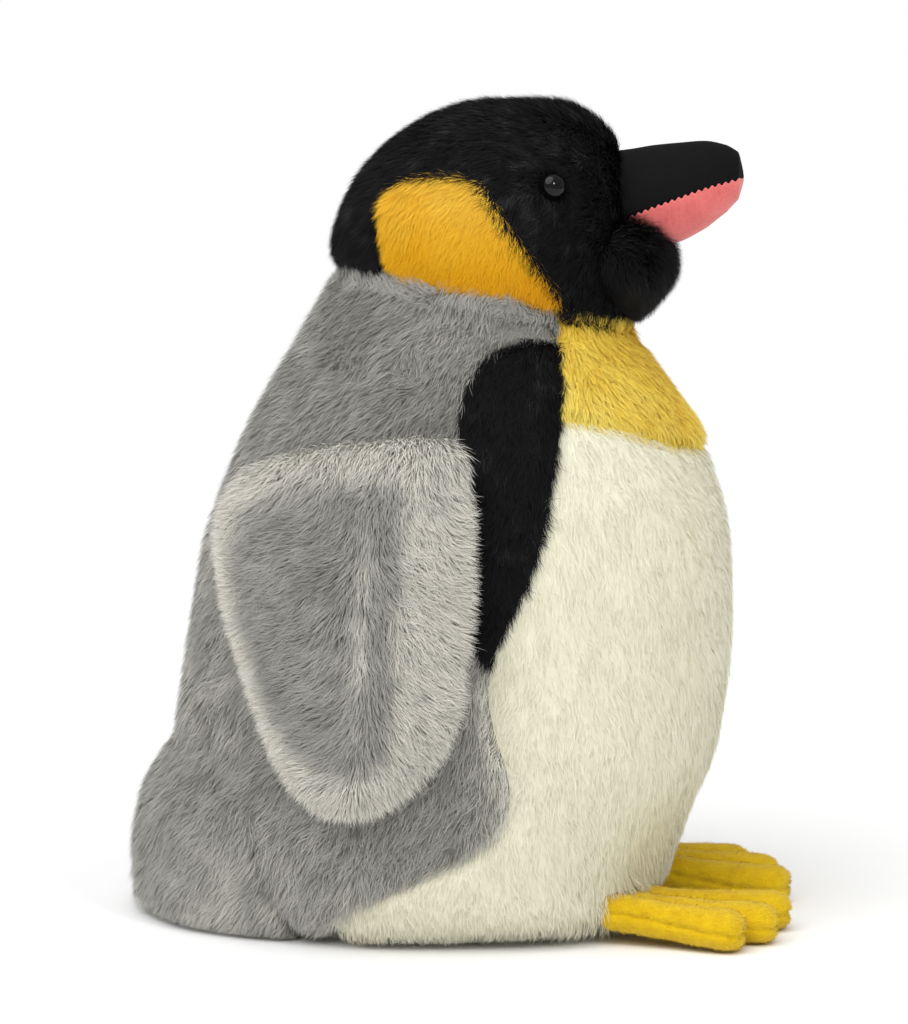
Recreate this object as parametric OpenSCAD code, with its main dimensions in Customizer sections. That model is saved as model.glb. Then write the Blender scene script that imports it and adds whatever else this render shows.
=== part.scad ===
// Plush penguin, about 29 cm tall: a pile-fabric skin sewn from panels over stuffing,
// with a stuffed head, chin, two-part beak, flippers, tail and three-toed feet.
// Millimetres. The penguin faces -Y, its left side is +X, and it sits on z = 0.

/* [Overall size] */
// height from the floor to the crown
plush_height = 284; // [220:1:360]
// width of the body across the sides
body_width = 168; // [120:1:220]
// depth of the body from belly to back
body_depth = 190; // [150:1:240]
// width of the head across the cheeks
head_width = 96; // [70:1:120]

/* [Fabric and seams] */
// thickness of the pile fabric's backing and dense under-pile
fabric = 2.5; // [1.5:0.1:4]
// clearance between the fabric and the stuffing under it
layer_gap = 0.3; // [0.2:0.05:1]
// gap between two panels along their seam
seam_gap = 0.25; // [0.1:0.05:1]
// gap between the head and the body at the neck seam
neck_gap = 0.6; // [0.4:0.1:2]

/* [Flippers] */
// length of a flipper from its top edge to its tip
flipper_length = 125; // [90:1:160]
// width of a flipper at its shoulder
flipper_width = 90; // [60:1:110]
// thickness of a flipper at its middle
flipper_thick = 13; // [8:0.5:20]
// angle from the front of the body to the middle of a flipper
flipper_bearing = 109; // [95:1:125]
// height of the middle of a flipper, as a part of the plush height
flipper_level = 0.387; // [0.3:0.01:0.45]
// clearance between a flipper and the body behind it
flipper_gap = 0.9; // [0.5:0.1:4]

/* [Feet] */
// reach of the middle toe in front of the foot's root
toe_reach = 59.6; // [40:1:75]
// width of one toe
toe_width = 17; // [12:0.5:22]
// thickness of a foot
foot_thick = 13.5; // [9:0.5:18]
// distance from the middle of the body to the middle of a foot
foot_spread = 42; // [30:1:55]
// clearance between a foot and the body
foot_gap = 0.8; // [0.5:0.1:2]

/* [Face] */
// how far the beak stands out from the face
beak_length = 41; // [25:1:55]
// width of the beak at its root
beak_width = 28; // [18:1:36]
// thickness of the beak's fabric
beak_fabric = 1.4; // [0.8:0.1:2.5]
// diameter of an eye's dome
eye_d = 10; // [6:0.5:14]
// diameter of the stem that holds an eye
eye_stem_d = 3.4; // [2.5:0.1:5]
// diameter of the washer that locks an eye
eye_washer_d = 12; // [9:0.5:16]

/* [Hidden] */

fur_grey = [0.50, 0.49, 0.46];
fur_white = [0.86, 0.85, 0.78];
fur_black = [0.03, 0.03, 0.035];
fur_yellow = [0.93, 0.70, 0.20];
fur_orange = [0.95, 0.62, 0.05];
knit_black = [0.02, 0.02, 0.02];
fleece_pink = [0.85, 0.45, 0.42];
fleece_yellow = [0.88, 0.72, 0.05];
filling = [0.93, 0.93, 0.90];
eye_black = [0.01, 0.01, 0.01];
washer_white = [0.80, 0.80, 0.78];

// scale of each direction against the sizes the profiles below are drawn at
kz = plush_height / 284;
ky = body_depth / 190;
kx = body_width / 168;
khx = head_width / 96;

// The torso's rings from the floor up. Each ring is an ellipse in the plane through its
// back and front points: [back y, back z, front y, front z, half width].
torso_profile = [
    [70, 0, -46, 0, 62], [78, 3, -57, 3, 70], [83.5, 8, -66, 8, 75], [89, 15, -72.5, 15, 79],
    [97, 26, -75.5, 26, 82], [101.5, 40, -80, 40, 83.5], [102.5, 54, -85.5, 54, 84],
    [101, 70, -90, 70, 83.5], [97.5, 90, -92.7, 90, 82], [94.3, 110, -93.2, 110, 80],
    [91, 128, -92.8, 128, 77.5], [85.5, 146, -90.5, 146, 73.5], [79, 163, -86.3, 160, 69],
    [72, 179, -82, 173, 64], [63, 195, -74, 185, 58.5], [54, 210, -66, 196, 53],
    [47, 221, -60.5, 203, 49], [42.3, 228, -58, 205.5, 47]
];
// The head's rings from the neck seam up to the crown.
head_profile = [
    [42.3, 228, -58, 205.5, 46.5], [43.5, 235.5, -59, 217.5, 47.5], [42.5, 243.5, -60, 229.5, 48],
    [39, 252.5, -59.5, 241.5, 47], [34, 260.5, -58, 252.5, 44.5], [27.5, 268, -56, 262.5, 40],
    [20, 274, -52.5, 271, 34], [11, 279, -46.5, 277.5, 27], [0.5, 282.5, -37, 282.3, 18],
    [-10, 283.9, -26, 283.9, 7]
];
torso = [for (p = torso_profile) [p[0] * ky, p[1] * kz, p[2] * ky, p[3] * kz, p[4] * kx]];
skull = [for (p = head_profile) [p[0] * ky, p[1] * kz, p[2] * ky, p[3] * kz, p[4] * khx]];
top_row = len(torso) - 1;
crown_row = len(skull) - 1;

// Seam lines, as [torso row, angle from the front in degrees].
// front edge of the grey back, and above the stripe's tip the front edge of the stripe
front_seam = [
    [0, 116], [2, 112], [3.4, 103], [4.3, 80], [4.9, 68.5], [6, 68], [7.2, 75], [8, 79.5],
    [8.4, 79.5], [8.7, 77.5], [9.2, 74.5], [10.1, 70.5], [11, 68], [12.3, 65.5], [13.4, 63],
    [15.6, 54], [17, 52]
];
// back edge of the black stripe
stripe_seam = [
    [8.4, 79.5], [8.7, 81.2], [9.8, 85.5], [11.4, 89.3], [13.3, 89.5], [14.1, 88], [14.9, 82],
    [15.3, 72], [15.6, 54]
];
stripe_low = 8.45;
stripe_high = 15.55;
// lower edge of the yellow chest, as [angle, torso row]
chest_seam = [[0, 12.5], [8, 12.55], [26, 12.7], [41, 13], [53, 13.25], [64, 13.4]];
// rows at which the torso's panels are drawn
panel_rows = [
    0, 0.5, 1, 1.7, 2.5, 3.4, 4.3, 4.9, 6, 7.2, 8, 8.45, 8.7, 9.2, 10.1, 11, 12.3, 13.4, 14.1,
    14.9, 15.3, 15.55, 16.3, 17
];
// outline of the cheek patch seen from the side, as [y, z]
cheek_outline = [
    [24, 242.6], [22.6, 250.9], [15.4, 256.9], [3, 258.3], [-9, 256.5], [-14, 250.7],
    [-19.2, 242.4], [-27.6, 230.8], [-37.2, 215.6], [-24.2, 219], [-7.6, 220.7], [6.2, 222.5],
    [16.7, 225], [22, 232.4]
];
// half the width of the strip over the crown between the head's side panels
gusset_half = 14;

// outline of a flipper in its own plane: [towards the tail, up], middle of the flipper at 0
flipper_outline = [
    [44.5, 42.5], [38.5, 50.5], [17, 57.3], [-10, 61.3], [-27, 62.8], [-35.7, 60.8], [-39.2, 54.5],
    [-41, 37], [-43, 11], [-41.6, -13.5], [-39, -32.5], [-31.6, -45.2], [-19.5, -56.5],
    [-7, -61.3], [5.6, -59.2], [14, -51.6], [21.4, -40], [31.6, -17.5], [42, 7], [46.8, 26.5],
    [46.6, 36]
];
flipper_outline_w = 90;
flipper_outline_l = 125;
// where the rings of a flipper's skin lie between its middle and its edge
flipper_steps = [0.35, 0.62, 0.8, 0.92, 0.98, 1];
// how much fuller than an ellipse the flipper's section is
flipper_fullness = 2.6;
// half thickness of the flipper's sewn edge
flipper_edge = 1.3;
// how the flipper curves round the body: radius across and radius down
flipper_bend_across = 150;
flipper_bend_down = 420;

// toes of a foot: [sideways at the root, sideways at the tip, reach], outer toe first
toes = [[10, 19, 0.82], [1, 3, 1], [-8, -21, 1.07]];
// row and angle on the skull where an eye sits
eye_row = 4.04;
eye_angle = 60.5;

// ---- lofted surfaces -------------------------------------------------------------

// A ring between the given rows, on a smooth curve through them.
function ring_at(rings, r) =
    let (n = len(rings), i = min(max(floor(r), 0), n - 2), t = r - i,
         a = rings[max(i - 1, 0)], b = rings[i], c = rings[i + 1], d = rings[min(i + 2, n - 1)])
    0.5 * (2 * b + (c - a) * t + (2 * a - 5 * b + 4 * c - d) * t * t
           + (3 * b - a - 3 * c + d) * t * t * t);

// The point of a ring at an angle from the front, positive towards +X.
function ring_point(g, a) = [
    g[4] * sin(a),
    (g[0] + g[2]) / 2 + (g[2] - g[0]) / 2 * cos(a),
    (g[1] + g[3]) / 2 + (g[3] - g[1]) / 2 * cos(a)
];
function skin_at(rings, r, a) = ring_point(ring_at(rings, r), a);
function unit(v) = v / norm(v);

// Outward normal of the lofted surface.
function normal_at(rings, r, a) =
    let (n = len(rings) - 1, lo = max(r - 0.2, 0), hi = min(r + 0.2, n),
         along = skin_at(rings, r, a + 2) - skin_at(rings, r, a - 2),
         up = skin_at(rings, hi, a) - skin_at(rings, lo, a))
    unit(cross(along, up));

// The surface moved inwards by a depth.
function inset(rings, r, a, depth) =
    skin_at(rings, r, a) - depth * normal_at(rings, r, a);

// Two triangles for the cell of a grid, wound for a grid seen from outside.
function cell(p, q, s, t) = [[p, s, q], [p, t, s]];

// A closed solid between an outer and an inner grid, each a list of rows of points.
module sheet_solid(outer, inner) {
    nr = len(outer);
    nc = len(outer[0]);
    m = nr * nc;
    points = [for (row = outer) each row, for (row = inner) each row];
    faces = [
        for (j = [0:nr - 2], i = [0:nc - 2])
            each cell(j * nc + i, j * nc + i + 1, (j + 1) * nc + i + 1, (j + 1) * nc + i),
        for (j = [0:nr - 2], i = [0:nc - 2])
            each cell(m + j * nc + i + 1, m + j * nc + i, m + (j + 1) * nc + i, m + (j + 1) * nc + i + 1),
        for (i = [0:nc - 2])
            each cell(m + i, m + i + 1, i + 1, i),
        for (i = [0:nc - 2])
            each cell((nr - 1) * nc + i, (nr - 1) * nc + i + 1, m + (nr - 1) * nc + i + 1, m + (nr - 1) * nc + i),
        for (j = [0:nr - 2])
            each cell(m + j * nc, j * nc, (j + 1) * nc, m + (j + 1) * nc),
        for (j = [0:nr - 2])
            each cell(j * nc + nc - 1, m + j * nc + nc - 1, m + (j + 1) * nc + nc - 1, (j + 1) * nc + nc - 1)
    ];
    polyhedron(points = points, faces = faces, convexity = 4);
}

// Faces of a stack of closed rings of nc points, nr rings, starting at point s.
function tube_faces(nr, nc, s) = [
    for (j = [0:nr - 2], i = [0:nc - 1])
        let (k = (i + 1) % nc)
        each cell(s + j * nc + i, s + j * nc + k, s + (j + 1) * nc + k, s + (j + 1) * nc + i)
];
function turned(faces) = [for (f = faces) [f[2], f[1], f[0]]];
function mean(ring) = [for (c = [0:2]) let (v = [for (p = ring) p[c]]) sum(v) / len(v)];
function sum(v, i = 0) = i == len(v) ? 0 : v[i] + sum(v, i + 1);

// A closed solid through a stack of closed rings, capped at both ends.
module ring_solid(rings) {
    nr = len(rings);
    nc = len(rings[0]);
    low = nr * nc;
    points = [for (r = rings) each r, mean(rings[0]), mean(rings[nr - 1])];
    faces = [
        each tube_faces(nr, nc, 0),
        for (i = [0:nc - 1]) [low, i, (i + 1) % nc],
        for (i = [0:nc - 1]) [low + 1, (nr - 1) * nc + (i + 1) % nc, (nr - 1) * nc + i]
    ];
    polyhedron(points = points, faces = faces, convexity = 4);
}

// A closed skin between two stacks of rings: open below, closed over the top.
module cap_skin(outer, inner) {
    nr = len(outer);
    nc = len(outer[0]);
    m = nr * nc;
    points = [for (r = outer) each r, for (r = inner) each r, mean(outer[nr - 1]), mean(inner[nr - 1])];
    faces = [
        each tube_faces(nr, nc, 0),
        each turned(tube_faces(nr, nc, m)),
        for (i = [0:nc - 1]) each cell(m + i, m + (i + 1) % nc, (i + 1) % nc, i),
        for (i = [0:nc - 1]) [2 * m, (nr - 1) * nc + (i + 1) % nc, (nr - 1) * nc + i],
        for (i = [0:nc - 1]) [2 * m + 1, m + (nr - 1) * nc + i, m + (nr - 1) * nc + (i + 1) % nc]
    ];
    polyhedron(points = points, faces = faces, convexity = 4);
}

// ---- torso -----------------------------------------------------------------------

// Angle taken off a panel's edge so that half the seam gap lies on each side of the seam.
function edge_trim(r) = seam_gap / 2 / ring_at(torso, r)[4] * 180 / PI;

// A torso panel over the given rows, from one angle to another at each row.
module torso_panel(rows, from_angle, to_angle, columns) {
    grid = [for (depth = [0, fabric]) [
        for (j = [0:len(rows) - 1]) [
            for (i = [0:columns])
                inset(torso, rows[j], from_angle[j] + (to_angle[j] - from_angle[j]) * i / columns, depth)
        ]
    ]];
    sheet_solid(grid[0], grid[1]);
}

function back_edge(r) =
    r > stripe_low && r < stripe_high ? lookup(r, stripe_seam) : lookup(r, front_seam);

module back_panel(side) {
    rows = panel_rows;
    front = [for (r = rows) back_edge(r) + edge_trim(r)];
    rear = [for (r = rows) 180 - edge_trim(r)];
    color(fur_grey)
        if (side > 0) torso_panel(rows, front, rear, 11);
        else torso_panel(rows, -rear, -front, 11);
}
module back_left() { back_panel(1); }
module back_right() { back_panel(-1); }

module stripe(side) {
    rows = [for (r = panel_rows) if (r >= stripe_low && r <= stripe_high) r];
    front = [for (r = rows) lookup(r, front_seam) + edge_trim(r)];
    rear = [for (r = rows) max(lookup(r, stripe_seam) - edge_trim(r), lookup(r, front_seam) + 2 * edge_trim(r))];
    color(fur_black)
        if (side > 0) torso_panel(rows, front, rear, 4);
        else torso_panel(rows, -rear, -front, 4);
}
module stripe_left() { stripe(1); }
module stripe_right() { stripe(-1); }

// The white belly and the yellow chest share one curved seam across the front.
front_columns = 16;
function front_angle(r, i) = (lookup(r, front_seam) - edge_trim(r)) * (2 * i / front_columns - 1);
function front_grid(low, high, parts, depth) = [
    for (part = parts) [
        for (i = [0:front_columns])
            let (r0 = low[i] + (high[i] - low[i]) * part)
            inset(torso, r0, front_angle(r0, i), depth)
    ]
];
chest_line = [for (i = [0:front_columns]) lookup(abs(2 * i / front_columns - 1) * 63, chest_seam)];
// The panels' rows below and above that seam, as parts of the way, so that both sides of
// the side seams bend at the same rows.
chest_edge_row = chest_line[0];
belly_parts = [for (r = panel_rows) if (r < chest_edge_row - 0.1) r / chest_edge_row, 1];
chest_parts = [
    0,
    for (r = panel_rows) if (r > chest_edge_row + 0.1)
        (r - chest_edge_row) / (top_row - chest_edge_row)
];
row_gap = seam_gap / 2 / (15 * kz);

module belly_panel() {
    low = [for (i = [0:front_columns]) 0];
    high = [for (c = chest_line) c - row_gap];
    color(fur_white)
        sheet_solid(front_grid(low, high, belly_parts, 0), front_grid(low, high, belly_parts, fabric));
}
module chest_panel() {
    low = [for (c = chest_line) c + row_gap];
    high = [for (i = [0:front_columns]) top_row];
    color(fur_yellow)
        sheet_solid(front_grid(low, high, chest_parts, 0), front_grid(low, high, chest_parts, fabric));
}

core_columns = 32;
function closed_ring(rings, r, depth) = [
    for (i = [0:core_columns - 1]) inset(rings, r, i * 360 / core_columns, depth)
];
// A ring of the inner core, held between the base and the neck.
core_rows = [0.6, 1, 2, 3, 4, 5, 6, 7, 8, 9, 10, 11, 12, 13, 14, 15, 16, 17];

// The core stays inside the panels' flat facets, which cut inside their curve.
core_inset = fabric + layer_gap + 1.8;

module body_stuffing() {
    depth = core_inset;
    color(filling)
        ring_solid([for (r = core_rows) closed_ring(torso, r, depth)]);
}

// The flat base that closes the body underneath.
module base_panel() {
    edge = fabric + layer_gap;
    color(fur_white)
        linear_extrude(height = core_floor())
            polygon([
                for (i = [0:core_columns - 1])
                    let (p = inset(torso, 0, i * 360 / core_columns, 0), c = [0, (torso[0][0] + torso[0][2]) / 2])
                    [p[0], p[1]] - edge * unit([p[0] - c[0], p[1] - c[1]])
            ]);
}
// The base is as thick as the fabric, and stays under the lowest ring of the core.
function core_floor() =
    min(fabric * 0.72, min([for (a = [0:30:180]) inset(torso, core_rows[0], a, core_inset)[2]]) - layer_gap);

// ---- tail ------------------------------------------------------------------------

// How far the tail stands out behind the body at its middle, by torso row.
tail_reach = [
    [0, 35], [1, 33], [2, 30.5], [3, 25.5], [4, 17.5], [5, 10.5], [6, 4.2], [6.6, 0.6]
];
tail_rows = [0, 0.5, 1, 2, 3, 4, 5, 5.6, 6.2, 6.6];
// half the angle that the tail covers round the back
tail_half_angle = 55;
tail_columns = 20;
function tail_spread(f) = pow(cos(90 * f), 0.9);
function tail_bump(r, f) = ky * lookup(r, tail_reach) * tail_spread(f);
// A point of the tail, f from -1 to 1 across it, standing a distance off the body.
function tail_point(r, f, off) =
    let (a = 180 + f * tail_half_angle, d = unit([0.5 * sin(a), -cos(a), 0]))
    skin_at(torso, r, a) + off * d;
// least stand-off of the tail's skin, and its least thickness at the sewn edge
tail_rise = 0.7;
tail_edge = 0.6;

function tail_grid(part) = [
    for (r = tail_rows) [
        for (i = [0:tail_columns])
            let (f = 0.985 * (2 * i / tail_columns - 1), bump = layer_gap + tail_bump(r, f) + tail_rise)
            tail_point(r, f, part == 0 ? bump
                : max(layer_gap, min(bump - tail_edge, bump - fabric)))
    ]
];
module tail_skin() {
    color(fur_grey) sheet_solid(tail_grid(0), tail_grid(1));
}
module tail_stuffing() {
    rows = [for (r = tail_rows) if (r <= 5.6) r];
    grid = [for (part = [0, 1]) [
        for (r = rows) [
            for (i = [0:tail_columns - 2])
                let (f = 0.985 * (2 * (i + 1) / tail_columns - 1) * 0.92,
                     bump = tail_bump(r, f) + tail_rise - fabric)
                tail_point(r, f, part == 0 ? max(bump, 1.6 * layer_gap) : layer_gap)
        ]
    ]];
    color(filling)
        intersection() {
            sheet_solid(grid[0], grid[1]);
            translate([-150, 0, fabric]) cube([300, 200, 200]);
        }
}

// ---- head ------------------------------------------------------------------------

// The neck seam lies in a plane that falls towards the front.
neck_back = [0, torso[top_row][0], torso[top_row][1]];
neck_front = [0, torso[top_row][2], torso[top_row][3]];
neck_up = unit(cross([1, 0, 0], neck_back - neck_front));
head_lift = neck_gap * neck_up;
head_rows = [0, 0.5, 1, 2, 3, 4, 5, 6, 7, 8, 9];

module head_skin() {
    translate(head_lift)
        cap_skin([for (r = head_rows) closed_ring(skull, r, 0)],
                 [for (r = head_rows) closed_ring(skull, r, fabric)]);
}
// The head's outside, grown by a clearance, for what is sewn against it.
module head_form(grow) {
    translate(head_lift)
        ring_solid([for (r = head_rows) closed_ring(skull, r, -grow)]);
}
module cheek_prism(side, grow) {
    middle = [-3, 238];
    translate([side > 0 ? 0 : -100, 0, 0])
        rotate([90, 0, 90])
            linear_extrude(height = 100)
                polygon([
                    for (p = cheek_outline)
                        let (q = p + grow * unit(p - middle))
                        [q[0] * ky, q[1] * kz + head_lift[2]]
                ]);
}
// Places its children on the skull where an eye is, outwards along +Z.
module at_eye(side) {
    p = skin_at(skull, eye_row, side * eye_angle) + head_lift;
    n = normal_at(skull, eye_row, side * eye_angle);
    translate(p)
        rotate([0, acos(n[2]), atan2(n[1], n[0])])
            children();
}
stem_clear = 0.2;
module head_side(side) {
    color(fur_black)
        difference() {
            head_skin();
            translate([side > 0 ? -100 + gusset_half + seam_gap / 2 : -gusset_half - seam_gap / 2, -150, 0])
                cube([100, 300, 400]);
            cheek_prism(side, seam_gap / 2);
            at_eye(side)
                translate([0, 0, -8]) cylinder(d = eye_stem_d + 2 * stem_clear, h = 16);
        }
}
module head_side_left() { head_side(1); }
module head_side_right() { head_side(-1); }
module head_gusset() {
    half = gusset_half - seam_gap / 2;
    color(fur_black)
        intersection() {
            head_skin();
            translate([-half, -150, 0]) cube([2 * half, 300, 400]);
        }
}
module cheek(side) {
    color(fur_orange)
        intersection() {
            head_skin();
            cheek_prism(side, -seam_gap / 2);
            translate([side > 0 ? gusset_half : -100 - gusset_half, -150, 0]) cube([100, 300, 400]);
        }
}
module cheek_left() { cheek(1); }
module cheek_right() { cheek(-1); }

washer_depth = fabric + 1.3;
washer_thick = 1.2;
module head_stuffing() {
    depth = fabric + layer_gap;
    color(filling)
        difference() {
            translate(head_lift)
                ring_solid([for (r = head_rows) closed_ring(skull, r, depth)]);
            for (side = [-1, 1])
                at_eye(side)
                    translate([0, 0, -9]) cylinder(d = eye_washer_d + 1.6, h = 14);
        }
}

module eye(side) {
    r = eye_d / 2;
    // the dome's centre is below its base, so that it looks like a button, not a ball
    sink = r * 0.25;
    color(eye_black)
        at_eye(side)
            union() {
                intersection() {
                    translate([0, 0, -sink]) sphere(r = r);
                    translate([-r, -r, 0.05]) cube([2 * r, 2 * r, r]);
                }
                translate([0, 0, -7.2]) cylinder(d = eye_stem_d, h = 8);
            }
}
module eye_left() { eye(1); }
module eye_right() { eye(-1); }
module eye_washer(side) {
    color(washer_white)
        at_eye(side)
            translate([0, 0, -washer_depth - washer_thick])
                difference() {
                    cylinder(d = eye_washer_d, h = washer_thick);
                    translate([0, 0, -1]) cylinder(d = eye_stem_d + 0.1, h = washer_thick + 2);
                }
}
module eye_washer_left() { eye_washer(1); }
module eye_washer_right() { eye_washer(-1); }

// ---- chin ------------------------------------------------------------------------

chin_middle = [0, -54.5 * ky, 224.5 * kz];
chin_radii = [29 * khx, 20 * ky, 15.5 * kz];
module lobe(middle, radii) {
    bands = 12;
    around = 24;
    ring_solid([
        for (j = [0:bands])
            let (t = -90 + 4 + (180 - 8) * j / bands)
            [for (i = [0:around - 1])
                let (a = i * 360 / around)
                middle + [radii[0] * cos(t) * sin(a), -radii[1] * cos(t) * cos(a), radii[2] * sin(t)]]
    ]);
}
module chin_clear(grow) {
    head_form(grow);
    beak_form(grow, 0);
}
module chin_skin() {
    color(fur_black)
        difference() {
            lobe(chin_middle, chin_radii);
            lobe(chin_middle, chin_radii - fabric * [1, 1, 1]);
            chin_clear(0.3);
        }
}
module chin_stuffing() {
    color(filling)
        difference() {
            lobe(chin_middle, chin_radii - (fabric + layer_gap) * [1, 1, 1]);
            chin_clear(0.6);
        }
}

// ---- beak ------------------------------------------------------------------------

// Sections of the beak: [part of its length, top z, seam z, bottom z, part of its width].
beak_profile = [
    [-0.16, 268.5, 242, 236, 1], [0, 269, 244.5, 235.5, 1], [0.22, 270.4, 248, 235.5, 0.96],
    [0.46, 271.3, 251.6, 237.5, 0.88], [0.68, 271.8, 254.8, 242.2, 0.75], [0.85, 270.3, 256.8, 247.6, 0.56],
    [0.95, 267.8, 258, 252, 0.37], [0.995, 263.8, 259, 256, 0.16]
];
beak_root_y = -57.5;
beak_columns = 14;
// Half a section: up is 1 for the upper half, -1 for the lower half.
function beak_arc(s, up, depth, lift, turn0, turn1) =
    let (w = max(beak_width / 2 * s[4] - depth, 0.35), seam = s[2] + up * lift,
         tall = max((up > 0 ? s[1] - s[2] : s[2] - s[3]) - depth - lift, 0.3))
    [for (i = [0:beak_columns])
        let (a = turn0 + (turn1 - turn0) * i / beak_columns)
        [w * cos(a), beak_root_y * ky - s[0] * beak_length, (seam + up * tall * sin(a)) * kz]];
module beak_form(grow, depth) {
    ring_solid([
        for (s = beak_profile)
            let (upper = beak_arc(s, 1, depth - grow, 0, 0, 180),
                 lower = beak_arc(s, -1, depth - grow, 0, 180, 0))
            [for (i = [0:beak_columns - 1]) upper[i], for (i = [0:beak_columns - 1]) lower[i]]
    ]);
}
module beak_half(up) {
    difference() {
        sheet_solid(
            [for (s = beak_profile) let (p = beak_arc(s, up, 0, 0.12, 0, 180)) up > 0 ? p : reverse(p)],
            [for (s = beak_profile) let (p = beak_arc(s, up, beak_fabric, 0.12, 0, 180)) up > 0 ? p : reverse(p)]);
        head_form(0.3);
    }
}
function reverse(v) = [for (i = [len(v) - 1:-1:0]) v[i]];
module beak_upper() { color(knit_black) beak_half(1); }
module beak_lower() { color(fleece_pink) beak_half(-1); }
module beak_stuffing() {
    color(filling)
        difference() {
            beak_form(0, beak_fabric + layer_gap);
            head_form(0.3);
        }
}

// ---- flippers --------------------------------------------------------------------

flipper_row = lookup(flipper_level * plush_height, [for (j = [0:top_row]) [(torso[j][1] + torso[j][3]) / 2, j]]);
fl_w = flipper_width / flipper_outline_w;
fl_l = flipper_length / flipper_outline_l;
fl_anchor = skin_at(torso, flipper_row, flipper_bearing);
// The flipper's plane follows the body: turned to its side and leaning out at the bottom.
fl_turn = 15;
fl_lean = 8;
fl_back = [-sin(fl_turn), cos(fl_turn), 0];
fl_out = [cos(fl_lean) * cos(fl_turn), cos(fl_lean) * sin(fl_turn), sin(fl_lean)];
fl_up = cross(fl_out, fl_back);

function flipper_half(s) = flipper_edge + (flipper_thick / 2 - flipper_edge) * pow(max(1 - pow(s, flipper_fullness), 0), 0.5);
function flipper_bend(a, h) = -a * a / 2 / flipper_bend_across - h * h / 2 / flipper_bend_down;
// Standing off far enough that no part of the body's side reaches the flipper.
fl_offset = max([
    for (r = [3:0.5:14], a = [70:5:150])
        let (p = skin_at(torso, r, a) - fl_anchor, u = p * fl_back, h = p * fl_up,
             s = max(abs(u) / (flipper_width / 2), abs(h) / (flipper_length / 2)))
        s > 1 ? -99 : p * fl_out - flipper_bend(u, h) + flipper_half(s)
]) + flipper_gap;
function smooth_loop(v, t) =
    let (n = len(v), i = floor(t), f = t - i,
         a = v[(i + n - 1) % n], b = v[i % n], c = v[(i + 1) % n], d = v[(i + 2) % n])
    0.5 * (2 * b + (c - a) * f + (2 * a - 5 * b + 4 * c - d) * f * f
           + (3 * b - a - 3 * c + d) * f * f * f);
flipper_points = 32;
flipper_loop = [
    for (i = [0:flipper_points - 1])
        let (p = smooth_loop(flipper_outline, i * len(flipper_outline) / flipper_points))
        [p[0] * fl_w, p[1] * fl_l]
];
// A point of the left flipper: across, up, and out of its middle surface.
function flipper_point(a, h, w) =
    fl_anchor + fl_back * a + fl_up * h + fl_out * (fl_offset + flipper_bend(a, h) + w);
function flipper_ring(s, w) = [for (p = flipper_loop) flipper_point(p[0] * s, p[1] * s, w)];

// A closed pad between two heights over the flipper's outline.
module flipper_pad(steps, high, low) {
    nc = flipper_points;
    nr = len(steps);
    m = nr * nc;
    points = [
        for (k = [0:nr - 1]) each flipper_ring(steps[k], high[k]),
        for (k = [0:nr - 1]) each flipper_ring(steps[k], low[k]),
        flipper_point(0, 0, high[0] + 0.05), flipper_point(0, 0, low[0] - 0.05)
    ];
    faces = [
        each tube_faces(nr, nc, 0),
        each turned(tube_faces(nr, nc, m)),
        for (i = [0:nc - 1]) each cell((nr - 1) * nc + i, (nr - 1) * nc + (i + 1) % nc, m + (nr - 1) * nc + (i + 1) % nc, m + (nr - 1) * nc + i),
        for (i = [0:nc - 1]) [2 * m, i, (i + 1) % nc],
        for (i = [0:nc - 1]) [2 * m + 1, m + (i + 1) % nc, m + i]
    ];
    polyhedron(points = points, faces = turned(faces), convexity = 4);
}
seam_half = 0.12;
module flipper_skin(outward) {
    high = [for (s = flipper_steps) flipper_half(s)];
    low = [for (s = flipper_steps) max(seam_half, flipper_half(s) - fabric * 0.8)];
    if (outward) flipper_pad(flipper_steps, high, low);
    else flipper_pad(flipper_steps, -low, -high);
}
module flipper_fill() {
    steps = [for (s = flipper_steps) if (s < 0.97) s * 0.98];
    high = [for (s = steps) max(flipper_half(s / 0.98) - fabric * 0.8 - layer_gap, 0.5)];
    flipper_pad(steps, high, -high);
}
module on_side(side) {
    if (side > 0) children();
    else mirror([1, 0, 0]) children();
}
module flipper_left_outer() { color(fur_grey) flipper_skin(true); }
module flipper_left_inner() { color(fur_grey) flipper_skin(false); }
module flipper_left_stuffing() { color(filling) flipper_fill(); }
module flipper_right_outer() { color(fur_grey) on_side(-1) flipper_skin(true); }
module flipper_right_inner() { color(fur_grey) on_side(-1) flipper_skin(false); }
module flipper_right_stuffing() { color(filling) on_side(-1) flipper_fill(); }

// ---- feet ------------------------------------------------------------------------

foot_root_y = -52 * ky;
foot_mid = foot_thick / 2;
// A flat-bottomed oval bead, the shape at each end of a toe.
module bead(p, half_w, half_t) {
    translate([p[0], p[1], foot_mid])
        scale([half_w, half_w, half_t]) sphere(r = 1, $fn = 12);
}
// A bead part of the way along a toe: fullest near the tip.
module toe_bead(t, f, depth) {
    swell = [0.46, 0.47, 0.5];
    bead([foot_spread + t[0] + (t[1] - t[0]) * f,
          foot_root_y - (t[2] * toe_reach - toe_width / 2) * f, 0],
         toe_width * swell[2 * f] - depth, foot_mid - depth);
}
// The whole foot, made smaller on all sides by a depth.
module foot_form(depth) {
    union() {
        for (t = toes, part = [0, 1])
            hull() {
                toe_bead(t, part / 2, depth);
                toe_bead(t, (part + 1) / 2, depth);
            }
        hull()
            for (t = toes)
                bead([foot_spread + t[0] * 1.1, foot_root_y, 0], toe_width * 0.46 - depth, foot_mid - depth);
        hull()
            for (t = toes)
                bead([foot_spread + t[0] * 1.3, foot_root_y - 12, 0], toe_width * 0.46 - depth, foot_mid - depth);
    }
}

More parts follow.
